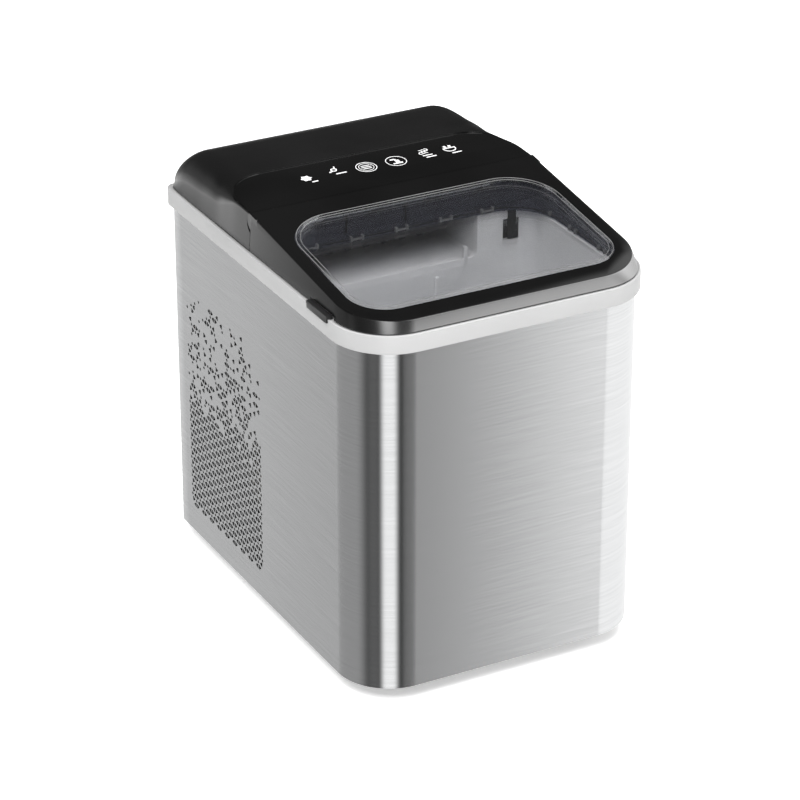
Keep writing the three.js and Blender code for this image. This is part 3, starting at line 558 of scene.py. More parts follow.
def vent_sheet(y0, y1, z0, z1, holes):
    """The flat sheet round the holes, as points (y, z) and triangles."""
    points = [Vector((y0, z0)), Vector((y1, z0)), Vector((y1, z1)), Vector((y0, z1))]
    edges = [(0, 1), (1, 2), (2, 3), (3, 0)]
    faces = []
    for ring in holes:
        start = len(points)
        points.extend(Vector(p) for p in ring)
        faces.append(list(range(start, start + len(ring))))
    made = geometry.delaunay_2d_cdt(points, edges, faces, 0, 1e-5)
    kept = [tri for tri, source in zip(made[2], made[5]) if not source]
    return [tuple(p) for p in made[0]], kept


def make_wrap():
    half, front, rear = WRAP_HI.x, WRAP_LO.y, WRAP_HI.y
    z0, z3 = WRAP_LO.z, WRAP_HI.z
    vent_y = (-2.0, 126.0)
    vent_z = (30.0, 214.0)
    levels = [z0, vent_z[0], vent_z[1], z3]
    path = [(-half + RETURN_WIDTH, rear)]
    r = WRAP_REAR_CORNER
    for i in range(9):
        a = 0.5 * math.pi * (1 + i / 8)
        path.append((-half + r + r * math.cos(a), rear - r + r * math.sin(a)))
    path += [(-half, vent_y[1]), (-half, vent_y[0])]
    r = WRAP_CORNER
    for i in range(33):
        a = math.pi * (1 + 0.5 * i / 32)
        path.append((-half + r + r * math.cos(a), front + r + r * math.sin(a)))
    mirrored = [(-x, y) for x, y in reversed(path)]
    path += mirrored
    lengths = [0.0]
    for a, b in zip(path, path[1:]):
        lengths.append(lengths[-1] + math.dist(a, b))
    points, sheet, faces = [], [], []
    for (x, y), s in zip(path, lengths):
        for z in levels:
            points.append((x, y, z))
            sheet.append((z, s))
    rows = len(levels)
    for i in range(len(path) - 1):
        vent = {abs(path[i][1]), abs(path[i + 1][1])} == {abs(vent_y[0]), abs(vent_y[1])}
        for k in range(rows - 1):
            if vent and k == 1:
                continue
            a = i * rows + k
            faces.append((a, a + rows, a + rows + 1, a + 1))
    holes = vent_holes()
    for side in (-1, 1):
        flat, triangles = vent_sheet(*vent_y, *vent_z, holes)
        at = [i for i, p in enumerate(path) if p[1] == vent_y[1] and p[0] * side > 0][0]
        start = len(points)
        for y, z in flat:
            points.append((side * half, y, z))
            s = lengths[at] + (vent_y[1] - y) * (-side)
            sheet.append((z, s))
        for tri in triangles:
            tri = tuple(start + i for i in tri)
            faces.append(tri if side > 0 else tri[::-1])
    wrap = mesh_piece("steel_wrap", points, faces)
    layer = wrap.data.uv_layers.new(name="sheet")
    for loop in wrap.data.loops:
        z, s = sheet[loop.vertex_index]
        layer.data[loop.index].uv = (z * MM, s * MM)
    bm = bmesh.new()
    bm.from_mesh(wrap.data)
    bmesh.ops.remove_doubles(bm, verts=bm.verts, dist=WELD_DISTANCE)
    bm.to_mesh(wrap.data)
    bm.free()
    thick = wrap.modifiers.new("thickness", "SOLIDIFY")
    thick.thickness = SHEET_THICK * MM
    thick.offset = -1.0
    applied(wrap)
    shade(wrap.data, 35)
    return wrap


finish_piece(make_wrap(), "cabinet", "brushed_steel", STEEL, "outer_wrap")


# ---------------------------------------------------------------- upper frame
def make_band():
    def ring(inset, z, corner=BAND_CORNER, rear=BAND_REAR_CORNER):
        return lifted(
            rounded(
                BAND_LO.x + inset, BAND_HI.x - inset, BAND_LO.y + inset, BAND_HI.y - inset,
                corner - inset, max(rear - inset, 0.8),
            ), z)

    bottom, top = BAND_LO.z, BAND_HI.z
    inner = rounded(-99.2, 99.2, -142.7, 62.7, 12, 2)
    rings = [ring(3.2, bottom), ring(0.8, bottom)]
    for i in range(5):
        a = 0.5 * math.pi * i / 4
        rings.append(ring(0.7 - 0.7 * math.sin(a), bottom + 0.7 - 0.7 * math.cos(a)))
    for i in range(5):
        a = 0.5 * math.pi * i / 4
        rings.append(ring(0.6 - 0.6 * math.cos(a), top - 0.6 + 0.6 * math.sin(a)))
    rings += [ring(1.3, top), ring(1.45, top - 0.5), ring(4.0, top - 0.5), ring(4.2, top)]
    rings += [lifted(inner, top), lifted(inner, top - 3), ring(3.2, top - 3)]
    return loft("band", rings, 25, hoop=True)


finish_piece(make_band(), "cabinet", "white_frame", WHITE, "upper_frame")


# ---------------------------------------------------------------- lid
def lid_ring(bottom_share, inset, z, rear=LID_WALL_REAR):
    """The lid's outline between its lower edge, share 1, and the crease, share 0."""
    half = TOP_HALF + (LID_HI.x - TOP_HALF) * bottom_share - inset
    front = TOP_FRONT + (LID_LO.y - TOP_FRONT) * bottom_share + inset
    return lifted(rounded(-half, half, front, rear, TOP_CORNER - inset, 0.4, 24), z)


def opening_outline(inset):
    return rounded(
        -OPENING["x"] + inset, OPENING["x"] - inset, OPENING["front"] + inset,
        OPENING["rear"] - inset, PANE_FRONT_R - inset, PANE_REAR_R - inset, 20,
    )


def make_lid():
    bottom = LID_LO.z
    crease = 0.9
    rings = [lid_ring(1, 0.4, bottom), lid_ring(0.98, 0, bottom + 0.4)]
    rings.append(lid_ring(0.03, 0, lambda y: lid_top(y) - crease))
    for i in range(1, 5):
        a = 0.5 * math.pi * i / 4
        rings.append(lid_ring(0, crease * (1 - math.cos(a)),
                              lambda y, s=math.sin(a): lid_top(y) - crease * (1 - s)))
    lid = loft("lid", rings, 30)
    hollow = [lid_ring(1, 2.2, bottom - 1, 30),
              lid_ring(0, 2.2, lambda y: lid_top(y) - 2.6, 30)]
    cut(lid, loft("inner", hollow))
    web = join(
        block("web", -TOP_HALF + 1, TOP_HALF - 1, 3, HINGE_Y, HINGE_Z - 5, HINGE_Z + LID_ROUND),
        block("wall", -TOP_HALF + 1.5, TOP_HALF - 1.5, 3, 5, bottom, HINGE_Z),
        rod_x("bar", -108.6, 108.6, HINGE_Y, HINGE_Z, LID_ROUND),
    )
    cut(web, slab("above", rounded(-120, 120, -10, 30, 1, 1, 2), lid_top,
                  lambda y: lid_top(y) + 20))
    join(lid, web)
    cut(lid, slab("opening", opening_outline(0), lambda y: lid_top(y) - 60,
                  lambda y: lid_top(y) + 10))
    for side in (-1, 1):
        x = side * 103.2
        cut(lid, block("slot", x - 2.5, x + 2.5, HINGE_Y - 5, 24, HINGE_Z - 10, HINGE_Z + 4.2))
        lo, hi = box_mm("lid_tab_left" if side < 0 else "lid_tab_right")
        x0, x1 = sorted((side * 105, side * 113))
        cut(lid, block("notch", x0, x1, lo.y - 0.4, hi.y + 0.4, 270, hi.z + 0.4))
        join(lid, rod_x("pin", x - 3, x + 3, HINGE_Y, HINGE_Z, 2.0, 32))
    return lid


lid = finish_piece(make_lid(), "lid", "lid_gloss", LID_BLACK, "lid_frame")
shade(lid.data, 28)


def side_walls(piece, material, half, front):
    """Outer walls only: faces that look out, near the outline."""
    piece.data.materials.append(material)
    index = len(piece.data.materials) - 1
    for face in piece.data.polygons:
        c = face.center / MM
        n = face.normal
        if n.z > 0.97 or n.z < -0.2:
            continue
        outside = abs(c.x) > half - 4 or c.y < front + 6
        corner_x, corner_y = half - TOP_CORNER, front + TOP_CORNER
        if abs(c.x) > corner_x and c.y < corner_y:
            outside = math.hypot(abs(c.x) - corner_x, c.y - corner_y) > TOP_CORNER - 6
        away = n.x * c.x > -0.01 if abs(n.x) > 0.3 else n.y < 0
        if outside and away:
            face.material_index = index


# The lid's outer walls get the cover material with painted reflection in its grey.
side_walls(lid, LID_WALL, LID_HI.x, LID_LO.y)


def make_tab(side):
    """A grip on the lid's edge that hooks down over the frame."""
    lo, hi = box_mm("lid_tab_left" if side < 0 else "lid_tab_right")
    y0, y1 = lo.y + 2.5, hi.y - 1.0
    face = max(abs(lo.x), abs(hi.x))
    root, lip = face - 4.4, face - 1.1
    span = sorted((side * root, side * face))
    edge = sorted((side * lip, side * face))
    tab = join(
        block("tab", *span, y0, y1, lo.z + 5.0, hi.z - 0.3),
        block("lip", *edge, y0 + 0.8, y1 - 0.8, lo.z + 2.0, hi.z - 0.3),
    )
    return bevelled(tab, 0.45, 3, 30)


finish_piece(make_tab(-1), "lid", "black_plastic", TAB_BLACK, "lid_tab_left")
finish_piece(make_tab(1), "lid", "black_plastic", TAB_BLACK, "lid_tab_right")


# ---------------------------------------------------------------- window and its inner wall
def make_pane():
    def ring(inset, offset):
        return lifted(opening_outline(inset), lambda y: lid_top(y) + offset)

    rings = [ring(0.4, -2.6), ring(0.4, 0.0)]
    for i in range(1, 5):
        a = 0.5 * math.pi * i / 4
        rings.append(ring(0.4 + 0.6 * (1 - math.cos(a)), 0.6 * math.sin(a)))
    rings += [ring(3.4, 0.6), ring(4.2, 0.1)]
    return loft("window_pane", rings, 30)


finish_piece(make_pane(), "lid", "window_clear", CLEAR, "lid_window")


def make_retainer():
    bottom = TANK_HI.z + 0.9

    def ring(inset, height):
        return lifted(opening_outline(inset), height)

    def top(y):
        return lid_top(y) - 3.0

    rings = [
        ring(-1.0, top), ring(-1.0, bottom), ring(2.0, bottom), ring(2.0, bottom + 1.2),
        ring(0.9, bottom + 1.6), ring(0.9, top),
    ]
    return merged("window_inner_wall", [loft("wall", rings, 30, hoop=True)], 30)


def make_rim():
    """Two fine raised lines round the pane's edge."""
    parts = []
    for inset, width in ((0.75, 0.40), (3.6, 0.30)):
        def ring(step, lift):
            return lifted(opening_outline(inset + step), lambda y: lid_top(y) + lift)

        section = [ring(0, 0.45), ring(0.1, 0.78), ring(width - 0.1, 0.78), ring(width, 0.45)]
        parts.append(loft("line", section, 50, hoop=True))
    bottom = TANK_HI.z + 0.9
    rear = OPENING["rear"]
    for x in (-74, -40, -6, 28, 60):
        for dx in (-4.2, 4.2):
            parts.append(block("clip", x + dx - 0.7, x + dx + 0.7, rear - 4.4, rear - 2.0,
                               bottom + 1.0, bottom + 4.6))
        parts.append(block("bridge", x - 3.6, x + 3.6, rear - 3.9, rear - 3.0,
                           bottom + 1.6, bottom + 2.8))
    for side in (-1, 1):
        for y in (-100, -62, -28):
            x = side * (OPENING["x"] - 3.2)
            for dy in (-4, 4):
                parts.append(block("clip", x - 1.1, x + 1.1, y + dy - 0.7, y + dy + 0.7,
                                   bottom + 1.0, bottom + 4.2))
    for x in (-60, -20, 20, 60):
        front = OPENING["front"]
        parts.append(block("clip", x - 3, x + 3, front + 2.2, front + 3.4,
                           bottom + 1.0, bottom + 2.6))
    return merged("window_rim", parts, 50)


finish_piece(make_rim(), "lid", "window_clear", RIM, "lid_window")


def make_retainer_trim():
    """The bead along the inner wall's lower edge, and the seams in its rear side."""
    bottom = TANK_HI.z + 0.9

    def ring(inset, z):
        return lifted(opening_outline(inset), z)

    parts = [loft("bead", [ring(1.3, bottom + 1.7), ring(1.3, bottom + 2.5),
                           ring(2.0, bottom + 2.5), ring(2.0, bottom + 1.7)], 30, hoop=True)]
    rear = OPENING["rear"]
    for x in (-47, -2):
        parts.append(block("seam", x - 0.5, x + 0.5, rear - 1.9, rear - 1.2,
                           bottom + 7, lid_top(rear) - 3.5))
    for x in (-66, -24, 20, 58):
        parts.append(block("slot", x - 7, x + 7, rear - 1.8, rear - 1.3,
                           lid_top(rear) - 5.2, lid_top(rear) - 4.4))
    return merged("window_wall_trim", parts, 30)


finish_piece(make_retainer_trim(), "lid", "lid_gloss", TAB_BLACK)
finish_piece(make_retainer(), "lid", "window_smoke", SMOKE, "window_retainer")


# ---------------------------------------------------------------- hood and control panel
HOOD_STATIONS = [
    (13.6, 301.7, 1.2, 110.2),
    (33.0, 302.9, 2.5, 110.2),
    (52.0, 304.2, 10.0, 110.2),
    (68.0, 305.4, 17.0, 110.2),
    (82.0, 307.0, 20.0, 110.2),
    (100.0, 307.0, 22.0, 110.2),
    (114.0, 306.2, 22.0, 110.2),
    (124.0, 304.3, 22.0, 110.2),
    (131.0, 301.2, 21.0, 110.0),
    (136.0, 297.0, 18.0, 109.4),
    (139.6, 291.0, 13.0, 108.0),
    (141.6, 284.0, 6.0, 106.0),
    (142.4, 278.5, 1.5, 104.0),
]


def smooth_stations(table, steps):
    """A smooth run of stations through the table, without overshoot."""
    def slope(k, c):
        if k == 0 or k == len(table) - 1:
            return None
        left = (table[k][c] - table[k - 1][c]) / (table[k][0] - table[k - 1][0])
        right = (table[k + 1][c] - table[k][c]) / (table[k + 1][0] - table[k][0])
        if left * right <= 0:
            return 0.0
        return 2 * left * right / (left + right)

    out = []
    for k in range(len(table) - 1):
        y0, y1 = table[k][0], table[k + 1][0]
        for i in range(steps):
            t = i / steps
            row = [y0 + (y1 - y0) * t]
            for c in (1, 2, 3):
                a, b = table[k][c], table[k + 1][c]
                chord = (b - a) / (y1 - y0)
                m0 = slope(k, c)
                m1 = slope(k + 1, c)
                m0 = chord if m0 is None else m0
                m1 = chord if m1 is None else m1
                h = y1 - y0
                row.append(
                    (2 * t**3 - 3 * t**2 + 1) * a + (t**3 - 2 * t**2 + t) * h * m0
                    + (-2 * t**3 + 3 * t**2) * b + (t**3 - t**2) * h * m1
                )
            out.append(tuple(row))
    out.append(table[-1])
    return out


def hood_section(station, inset, bottom, arc=14):
    y, top, fillet, half = station
    lean = 1.9 * (top - HOOD_LO.z) / 27
    outer, crown, radius = half - inset, top - inset, max(fillet - inset, 0.8)
    points = []
    for side in (-1, 1):
        corner = [(side * outer, y, bottom)]
        for i in range(arc + 1):
            a = 0.5 * math.pi * i / arc
            x = outer - lean - radius + radius * math.cos(a)
            corner.append((side * x, y, crown - radius + radius * math.sin(a)))
        points += corner if side < 0 else corner[::-1]
    return points


def panel_outline(inset, side_half, n=24):
    y1 = PANEL_HI.y - inset
    r = PANEL_CORNER
    half = PANEL_HI.x - inset
    out = [(-side_half, 5.0), (side_half, 5.0)]
    if side_half > half:
        out.append((side_half, y1 - r))
    for cx, start in ((half - r, 0.0), (-half + r, 0.5 * math.pi)):
        for i in range(n + 1):
            a = start + 0.5 * math.pi * i / n
            out.append((cx + r * math.cos(a), y1 - r + r * math.sin(a)))
    if side_half > half:
        out.append((-side_half, y1 - r))
    return out


def sweep(clear):
    return rod_x("sweep", -115, 115, HINGE_Y, HINGE_Z, LID_ROUND + clear)


def make_hood():
    stations = smooth_stations(HOOD_STATIONS, 5)
    hood = loft("hood", [hood_section(s, 0, HOOD_LO.z) for s in stations], 30)
    inner = [s for s in stations if s[0] < 138]
    inner = [(s[0] - 1 if s[0] < 14 else s[0], s[1] - (1.5 if s[0] > 120 else 0), s[2], s[3])
             for s in inner]
    cut(hood, loft("inner", [hood_section(s, 2.4, HOOD_LO.z - 1) for s in inner], 30))
    join(hood, slab("shelf", rounded(-106.4, 106.4, PANEL_FRONT - 3, 72, 1, 30),
                    lambda y: panel_top(y) - 4.2, lambda y: panel_top(y) - PANEL_THICK - GAP))
    cut(
        hood,
        slab("recess", panel_outline(-0.35, PANEL_HI.x + 0.35),
             lambda y: panel_top(y) - PANEL_THICK - GAP, lambda y: panel_top(y) + 20),
        block("bay", -115, 115, 0, PANEL_FRONT, HINGE_Z, 320),
        sweep(LID_CLEAR),
    )
    shade(hood.data, 30)
    return hood


finish_piece(make_hood(), "cabinet", "hood_black", HOOD_BLACK, "rear_hood")


def make_panel():
    def ring(inset, offset):
        return lifted(panel_outline(inset, PANEL_HI.x - inset), lambda y: panel_top(y) + offset)

    rings = [ring(0, -PANEL_THICK), ring(0, -0.35)]
    for i in range(1, 4):
        a = 0.5 * math.pi * i / 3
        rings.append(ring(0.35 * (1 - math.cos(a)), -0.35 * (1 - math.sin(a))))
    panel = loft("touch_panel", rings, 30)
    stations = [(2.0, *HOOD_STATIONS[0][1:])] + smooth_stations(HOOD_STATIONS, 5)
    boolean(panel, loft("section", [hood_section(s, 0.0, 270) for s in stations], 30), "INTERSECT")
    cut(panel, block("bay", -115, 115, 0, PANEL_FRONT, HINGE_Z, 320), sweep(LID_CLEAR))
    shade(panel.data, 30)
    return panel


finish_piece(make_panel(), "cabinet", "panel_gloss", PANEL_BLACK, "control_panel")


# Touch marks: plain pictograms and bars, printed just above the panel's surface.
def annulus(cx, cy, r0, r1, n=48, start=0.0, end=2 * math.pi):
    quads = []
    for i in range(n):
        a, b = (start + (end - start) * k / n for k in (i, i + 1))
        corners = ((r0, a), (r1, a), (r1, b), (r0, b))
        quads.append([(cx + r * math.cos(t), cy + r * math.sin(t)) for r, t in corners])
    return quads


def bar(cx, cy, w, h, turn=0.0):
    c, s = math.cos(turn), math.sin(turn)
    corners = ((-w / 2, -h / 2), (w / 2, -h / 2), (w / 2, h / 2), (-w / 2, h / 2))
    return [[(cx + x * c - y * s, cy + x * s + y * c) for x, y in corners]]


def star(cx, cy, r0, r1, points):
    tips = [(r1 if i % 2 else r0, math.pi * i / points) for i in range(2 * points)]
    ring = [(cx + r * math.cos(a), cy + r * math.sin(a)) for r, a in tips]
    return [[(cx, cy), ring[i], ring[(i + 1) % len(ring)]] for i in range(len(ring))]


def touch_marks():
    shapes = star(-50.4, 47.0, 4.3, 3.0, 6) + bar(-46.8, 40.6, 4.4, 1.2, 0.05)
    shapes += annulus(-27.4, 51.2, 1.5, 2.3, 20) + bar(-30.6, 49.0, 3.0, 1.1, 0.6)
    shapes += bar(-25.6, 54.6, 2.4, 0.9, 1.2) + bar(-24.6, 44.9, 8.0, 1.1, 0.02)
    shapes += annulus(-5, 46, 7.0, 7.5, 60) + annulus(-5, 46, 5.1, 5.5, 48)
    shapes += bar(-5, 48.2, 6.4, 0.7) + bar(-5, 46, 7.6, 0.7) + bar(-5, 43.8, 6.4, 0.7)
    shapes += annulus(18, 46, 7.0, 7.5, 60) + bar(16.4, 48.8, 3.6, 1.4) + bar(18, 46.3, 1.5, 5.0)
    shapes += bar(19.6, 45.6, 1.4, 3.6) + bar(18, 42.6, 7.2, 1.5)
    for i, x in enumerate((39.6, 42.0, 44.4)):
        shapes += annulus(x, 49.4 + 0.5 * i, 1.3, 2.0, 12, 0.5 * math.pi, 1.5 * math.pi)
        shapes += annulus(x, 52.4 + 0.5 * i, 1.3, 2.0, 12, -0.5 * math.pi, 0.5 * math.pi)
    shapes += bar(42.4, 45.4, 7.6, 1.0) + bar(43.8, 42.4, 8.0, 1.1, 0.03)
    shapes += annulus(61, 48.6, 4.0, 4.8, 24, math.pi, 2 * math.pi) + bar(61, 49.4, 9.6, 1.0)
    shapes += bar(59.0, 51.8, 2.0, 2.6, 0.3) + bar(62.6, 51.8, 2.0, 2.6, -0.3)
    shapes += bar(63.2, 41.2, 7.4, 1.1, 0.03)
    points, faces = [], []
    for shape in shapes:
        base = len(points)
        n = len(shape)
        for lift in (0.005, 0.12):
            points += [(x, y, panel_top(y) + lift) for x, y in shape]
        faces.append(tuple(base + i for i in range(n - 1, -1, -1)))
        faces.append(tuple(base + n + i for i in range(n)))
        faces += [(base + i, base + (i + 1) % n, base + n + (i + 1) % n, base + n + i)
                  for i in range(n)]
    return outward(mesh_piece("touch_marks", points, faces))


finish_piece(touch_marks(), "cabinet", "white_plastic", MARK_WHITE)


# ---------------------------------------------------------------- tank and chamber behind it
ALCOVE = {"x0": -94.5, "x1": 54.0, "y0": -5.0, "y1": 58.0, "floor": 245.0}
WALL = 4.0


def tank_outline(inset, rear, corner=16.0):
    return rounded(TANK_LO.x + inset, TANK_HI.x - inset, TANK_LO.y + inset, rear,
                   corner - inset, 6.0 if inset else 1.0, 12)


def make_tank():
    top, bottom = TANK_HI.z, TANK_LO.z
    tank = loft("tank", [lifted(tank_outline(0, TANK_HI.y), z) for z in (bottom, top)])
    r = 6.0
    rings = []
    for i in range(7):
        a = 0.5 * math.pi * i / 6
        inset = WALL + r * (1 - math.sin(a))
        y1 = ALCOVE["y0"] - r * (1 - math.sin(a))
        rings.append(lifted(rounded(TANK_LO.x + inset, TANK_HI.x - inset, TANK_LO.y + inset, y1,
                                    14 - 0.5 * (inset - WALL), 14 - 0.5 * (inset - WALL), 12),
                            bottom + WALL + r * (1 - math.cos(a))))
    rings.append(lifted(rounded(TANK_LO.x + WALL, TANK_HI.x - WALL, TANK_LO.y + WALL,
                                ALCOVE["y0"], 14, 14, 12), 292))
    cut(tank, loft("basin", rings))
    alcove = block("alcove", ALCOVE["x0"], ALCOVE["x1"], ALCOVE["y0"] - 12, 10,
                   ALCOVE["floor"], 292)
    round_edges(alcove, 5.0, lambda c: abs(c.x - ALCOVE["x1"]) < 0.1
                and abs(c.z - ALCOVE["floor"]) < 0.1)
    cut(tank, alcove)
    ribs = [
        block("post", 43.6, 46.4, ALCOVE["y0"] - 0.2, ALCOVE["y0"] + 3.0, 240, 253.5),
        block("rib", 20.6, 23.4, ALCOVE["y0"] - 1.6, ALCOVE["y0"] + 1.0, 214, 236),
        block("ledge", -60.0, -56.0, ALCOVE["y0"] - 1.2, ALCOVE["y0"] + 1.0, 206, 240),
    ]
    for rib in ribs:
        join(tank, rib)
    for x, y0, y1 in ((74, -12, 1), (-86, -200, TANK_LO.y + WALL + 2)):
        cut(tank, block("slot", x, x + 12, y0, y1, 252, 268))
    return bevelled(tank, 0.9, 3, 40)


def round_edges(piece, width, wanted):
    """Rounds the edges whose middle passes the test."""
    bm = bmesh.new()
    bm.from_mesh(piece.data)
    chosen = [e for e in bm.edges if wanted((e.verts[0].co + e.verts[1].co) / 2 / MM)]
    bmesh.ops.bevel(bm, geom=chosen, offset=width * MM, segments=8, affect="EDGES", profile=0.5)
    bm.to_mesh(piece.data)
    bm.free()
    return piece


finish_piece(make_tank(), "cabinet", "tank_grey", TANK_GREY, "water_tank")


# A black sheet over the slot in the alcove's rear wall: painted shade, standing in for the dark
# inside the slot.
def make_slot_shade_sheet():
    rear = ALCOVE["y0"]
    window = block("window", 77.6, 86.6, rear - 0.45, rear + 0.2, 253.0, 274.4)
    return merged("slot_shade_sheet", [window], 30)


finish_piece(make_slot_shade_sheet(), "cabinet", "black_plastic", TAB_BLACK)


# ---------------------------------------------------------------- CAD nodes that stay as they are
# material, bevel width in millimetres, names of the CAD nodes
DRESS = [
    (MATTE_BLACK, 0.6, "base_pan water_pump terminal_cover"),
    (RUBBER, 0.8, "foot_front_left foot_front_right foot_rear_left foot_rear_right"),
    (MATTE_BLACK, 0.4, "rear_panel power_inlet fan_shroud"),
    (MATTE_BLACK, 0.5, "rear_grille"),
    (BARE_METAL, 0.3, "rear_screw_1 rear_screw_2 rear_screw_3 rear_screw_4"),
    (MATTE_BLACK, 0.3, "lid_hinge_bracket_left lid_hinge_bracket_right ice_sensor_emitter "
                       "drain_spout"),
    (TANK_GREY, 0.8, "ice_chamber"),
    (FOAM, 1.0, "tank_insulation"),
    (BASKET_GREY, 0.5, "ice_basket"),
    (COPPER, 0.4, "evaporator filter_drier"),
    (DARK_GREY, 0.4, "water_tray ice_rake fan_blades"),
    (BARE_METAL, 0.5, "tray_gear_motor fan_motor"),
    (WHITE_PLASTIC, 0.2, "float_stem"),
    (WHITE_PLASTIC, 0.4, "level_float"),
    (DARK_GREY, 0.3, "chamber_cover"),
    (HOSE, 0, "pump_inlet_hose pump_outlet_hose drain_hose"),
    (RUBBER, 0.4, "drain_plug compressor_grommet_1 compressor_grommet_2 compressor_grommet_3"),
    (PAINT, 1.0, "compressor"),
    (ALUMINIUM, 0, "condenser"),
    (COPPER, 0, "discharge_line suction_line liquid_line capillary_tube"),
    (BRASS, 0.4, "hot_gas_valve"),
    (BOARD, 0.1, "control_board"),
    (BOARD, 0.2, "power_board"),
    (MATTE_BLACK, 0.2, "lid_switch"),
]

for material, width, name in ((m, w, n) for m, w, names in DRESS for n in names.split()):
    node = frame["nodes"][name]
    if len(node.material_slots) == 0:
        node.data.materials.append(material)
    for slot in node.material_slots:
        slot.material = material
    weld = node.modifiers.new("weld", "WELD")
    weld.merge_threshold = 0.00001
    if width:
        edge = node.modifiers.new("edges", "BEVEL")
        edge.width = width * MM
        edge.segments = 2
        edge.limit_method = "ANGLE"
        edge.angle_limit = math.radians(35)


# ---------------------------------------------------------------- floor, light and camera
def make_floor():
    size = 4.0
    mesh = bpy.data.meshes.new("floor")
    corners = [(-size, -size, 0), (size, -size, 0), (size, size, 0), (-size, size, 0)]
    mesh.from_pydata(corners, [], [(0, 1, 2, 3)])
    floor = link("floor", mesh)
    material, nodes, links = new_material("floor_pale")
    out = nodes.new("ShaderNodeOutputMaterial")
    shader = nodes.new("ShaderNodeBsdfPrincipled")
    shader.inputs["Base Color"].default_value = (0.9, 0.9, 0.9, 1)
    shader.inputs["Roughness"].default_value = 0.9
    shader.inputs["Emission Color"].default_value = (1, 1, 1, 1)
    shader.inputs["Emission Strength"].default_value = 0.42
    links.new(shader.outputs["BSDF"], out.inputs["Surface"])
    mesh.materials.append(material)
    floor.visible_glossy = False
    return floor


make_floor()


def math_node(nodes, links, operation, *sources):
    node = nodes.new("ShaderNodeMath")
    node.operation = operation
    for socket, value in zip(node.inputs, sources):
        if isinstance(value, float):
            socket.default_value = value
        else:
            links.new(value, socket)
    return node.outputs[0]


def azimuth_box(nodes, links, azimuth, elevation, middle, half, soft, low, high, strength):
    """A soft-edged bright patch of the studio, in degrees round and above the object."""
    radians = math.radians

    def window(source, start, end):
        node = nodes.new("ShaderNodeMapRange")
        node.interpolation_type = "SMOOTHSTEP"
        node.inputs["From Min"].default_value = start
        node.inputs["From Max"].default_value = end
        node.inputs["To Min"].default_value = 0
        node.inputs["To Max"].default_value = 1
        links.new(source, node.inputs["Value"])
        return node.outputs["Result"]

    def maths(operation, *sources):
        return math_node(nodes, links, operation, *sources)

    turned = maths("SUBTRACT", azimuth, radians(middle))
    cosine = maths("COSINE", turned)
    distance = maths("ARCCOSINE", cosine)
    side = window(distance, radians(half + soft), radians(half - soft))
    rise = window(elevation, radians(low[0]), radians(low[1]))
    fall = window(elevation, radians(high[1]), radians(high[0]))
    value = maths("MULTIPLY", side, rise)
    value = maths("MULTIPLY", value, fall)
    return maths("MULTIPLY", value, float(strength))


def make_world():
    world = bpy.data.worlds.new("studio")
    SCENE.world = world
    world.use_nodes = True
    nodes, links = world.node_tree.nodes, world.node_tree.links
    nodes.clear()
    out = nodes.new("ShaderNodeOutputWorld")
    direction = nodes.new("ShaderNodeTexCoord").outputs["Generated"]
    split = nodes.new("ShaderNodeSeparateXYZ")
    links.new(direction, split.inputs[0])

    def maths(operation, *sources):
        return math_node(nodes, links, operation, *sources)

    # Azimuth 0 is in front of the object and turns towards its left side.
    azimuth = maths("ARCTAN2", maths("MULTIPLY", split.outputs[0], -1.0),
                    maths("MULTIPLY", split.outputs[1], -1.0))
    elevation = maths("ARCSINE", split.outputs[2])
    total = None
    for patch in STUDIO:
        value = azimuth_box(nodes, links, azimuth, elevation, *patch)
        total = value if total is None else maths("ADD", total, value)
    total = maths("ADD", total, AMBIENT)
    studio = nodes.new("ShaderNodeBackground")
    links.new(total, studio.inputs["Strength"])
    backdrop = nodes.new("ShaderNodeBackground")
    backdrop.inputs["Color"].default_value = (1, 1, 1, 1)
    backdrop.inputs["Strength"].default_value = 1.05
    ray = nodes.new("ShaderNodeLightPath")
    mix = nodes.new("ShaderNodeMixShader")
    links.new(ray.outputs["Is Camera Ray"], mix.inputs["Fac"])
    links.new(studio.outputs[0], mix.inputs[1])
    links.new(backdrop.outputs[0], mix.inputs[2])
    links.new(mix.outputs[0], out.inputs["Surface"])


AMBIENT = 0.06
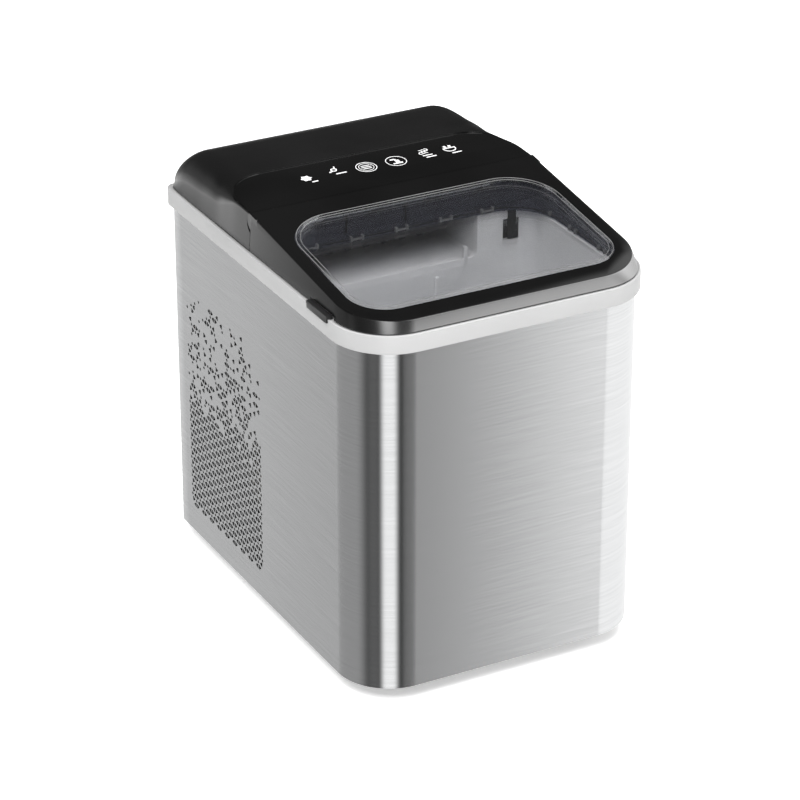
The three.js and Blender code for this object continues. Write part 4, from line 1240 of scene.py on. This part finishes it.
# middle azimuth, half width, edge softness, lower edge (from, to), upper edge (from, to), strength
STUDIO = [
    (-84.0, 53.9, 2.0, (-88, -70), (18, 34), 1.50),
    (-84.0, 54.6, 3.0, (26, 36), (62, 75), 1.00),
    (24.0, 13.0, 7.0, (15, 26), (62, 75), 1.00),
    (-14.0, 13.0, 6.0, (-88, -70), (10, 25), 0.18),
    (27.0, 15.0, 7.0, (-88, -70), (10, 25), 1.50),
    (58.0, 10.0, 6.0, (-88, -70), (5, 25), 0.12),
    (122.0, 42.0, 15.0, (-88, -70), (5, 25), 0.42),
    (181.0, 25.2, 1.2, (-88, -70), (-13, 1), 1.02),
]
make_world()


def area_light(name, place, size, power, aim=(0.0, 0.0, 0.15)):
    data = bpy.data.lights.new(name, "AREA")
    data.shape = "RECTANGLE"
    data.size, data.size_y = size
    data.energy = power
    light = bpy.data.objects.new(name, data)
    SCENE.collection.objects.link(light)
    light.location = place
    light.rotation_mode = "QUATERNION"
    light.rotation_quaternion = (Vector(aim) - Vector(place)).to_track_quat("-Z", "Y")
    light.visible_glossy = False
    return light


area_light("overhead", (0.10, -0.30, 1.7), (1.3, 1.3), 34.0)
area_light("front_left", (-0.78, -1.00, 1.35), (0.6, 0.6), 33.0, (0.0, -0.07, 0.22))
area_light("front_right", (1.3, -1.5, 0.9), (1.2, 1.2), 14.0)
area_light("rear_left", (-1.4, 1.2, 0.9), (1.2, 1.2), 16.0)


CAMERA_YAW = -28.03  # degrees
CAMERA_PITCH = 26.41
CAMERA_TARGET = (-0.020686, -0.032447, 0.164)
CAMERA_DISTANCE = 2.364609
CAMERA_LENS = 156.157


def make_camera():
    yaw, pitch = math.radians(CAMERA_YAW), math.radians(CAMERA_PITCH)
    target = Vector(CAMERA_TARGET)
    level = math.cos(pitch)
    back = Vector((math.sin(yaw) * level, -math.cos(yaw) * level, math.sin(pitch)))
    data = bpy.data.cameras.new("camera")
    data.sensor_width = 36.0
    data.lens = CAMERA_LENS
    data.clip_start, data.clip_end = 0.05, 50
    camera = bpy.data.objects.new("camera", data)
    SCENE.collection.objects.link(camera)
    camera.location = target + back * CAMERA_DISTANCE
    camera.rotation_mode = "QUATERNION"
    camera.rotation_quaternion = (-back).to_track_quat("-Z", "Y")
    SCENE.camera = camera


make_camera()
SCENE.view_settings.view_transform = "Standard"
SCENE.view_settings.look = "None"

bpy.context.view_layer.update()
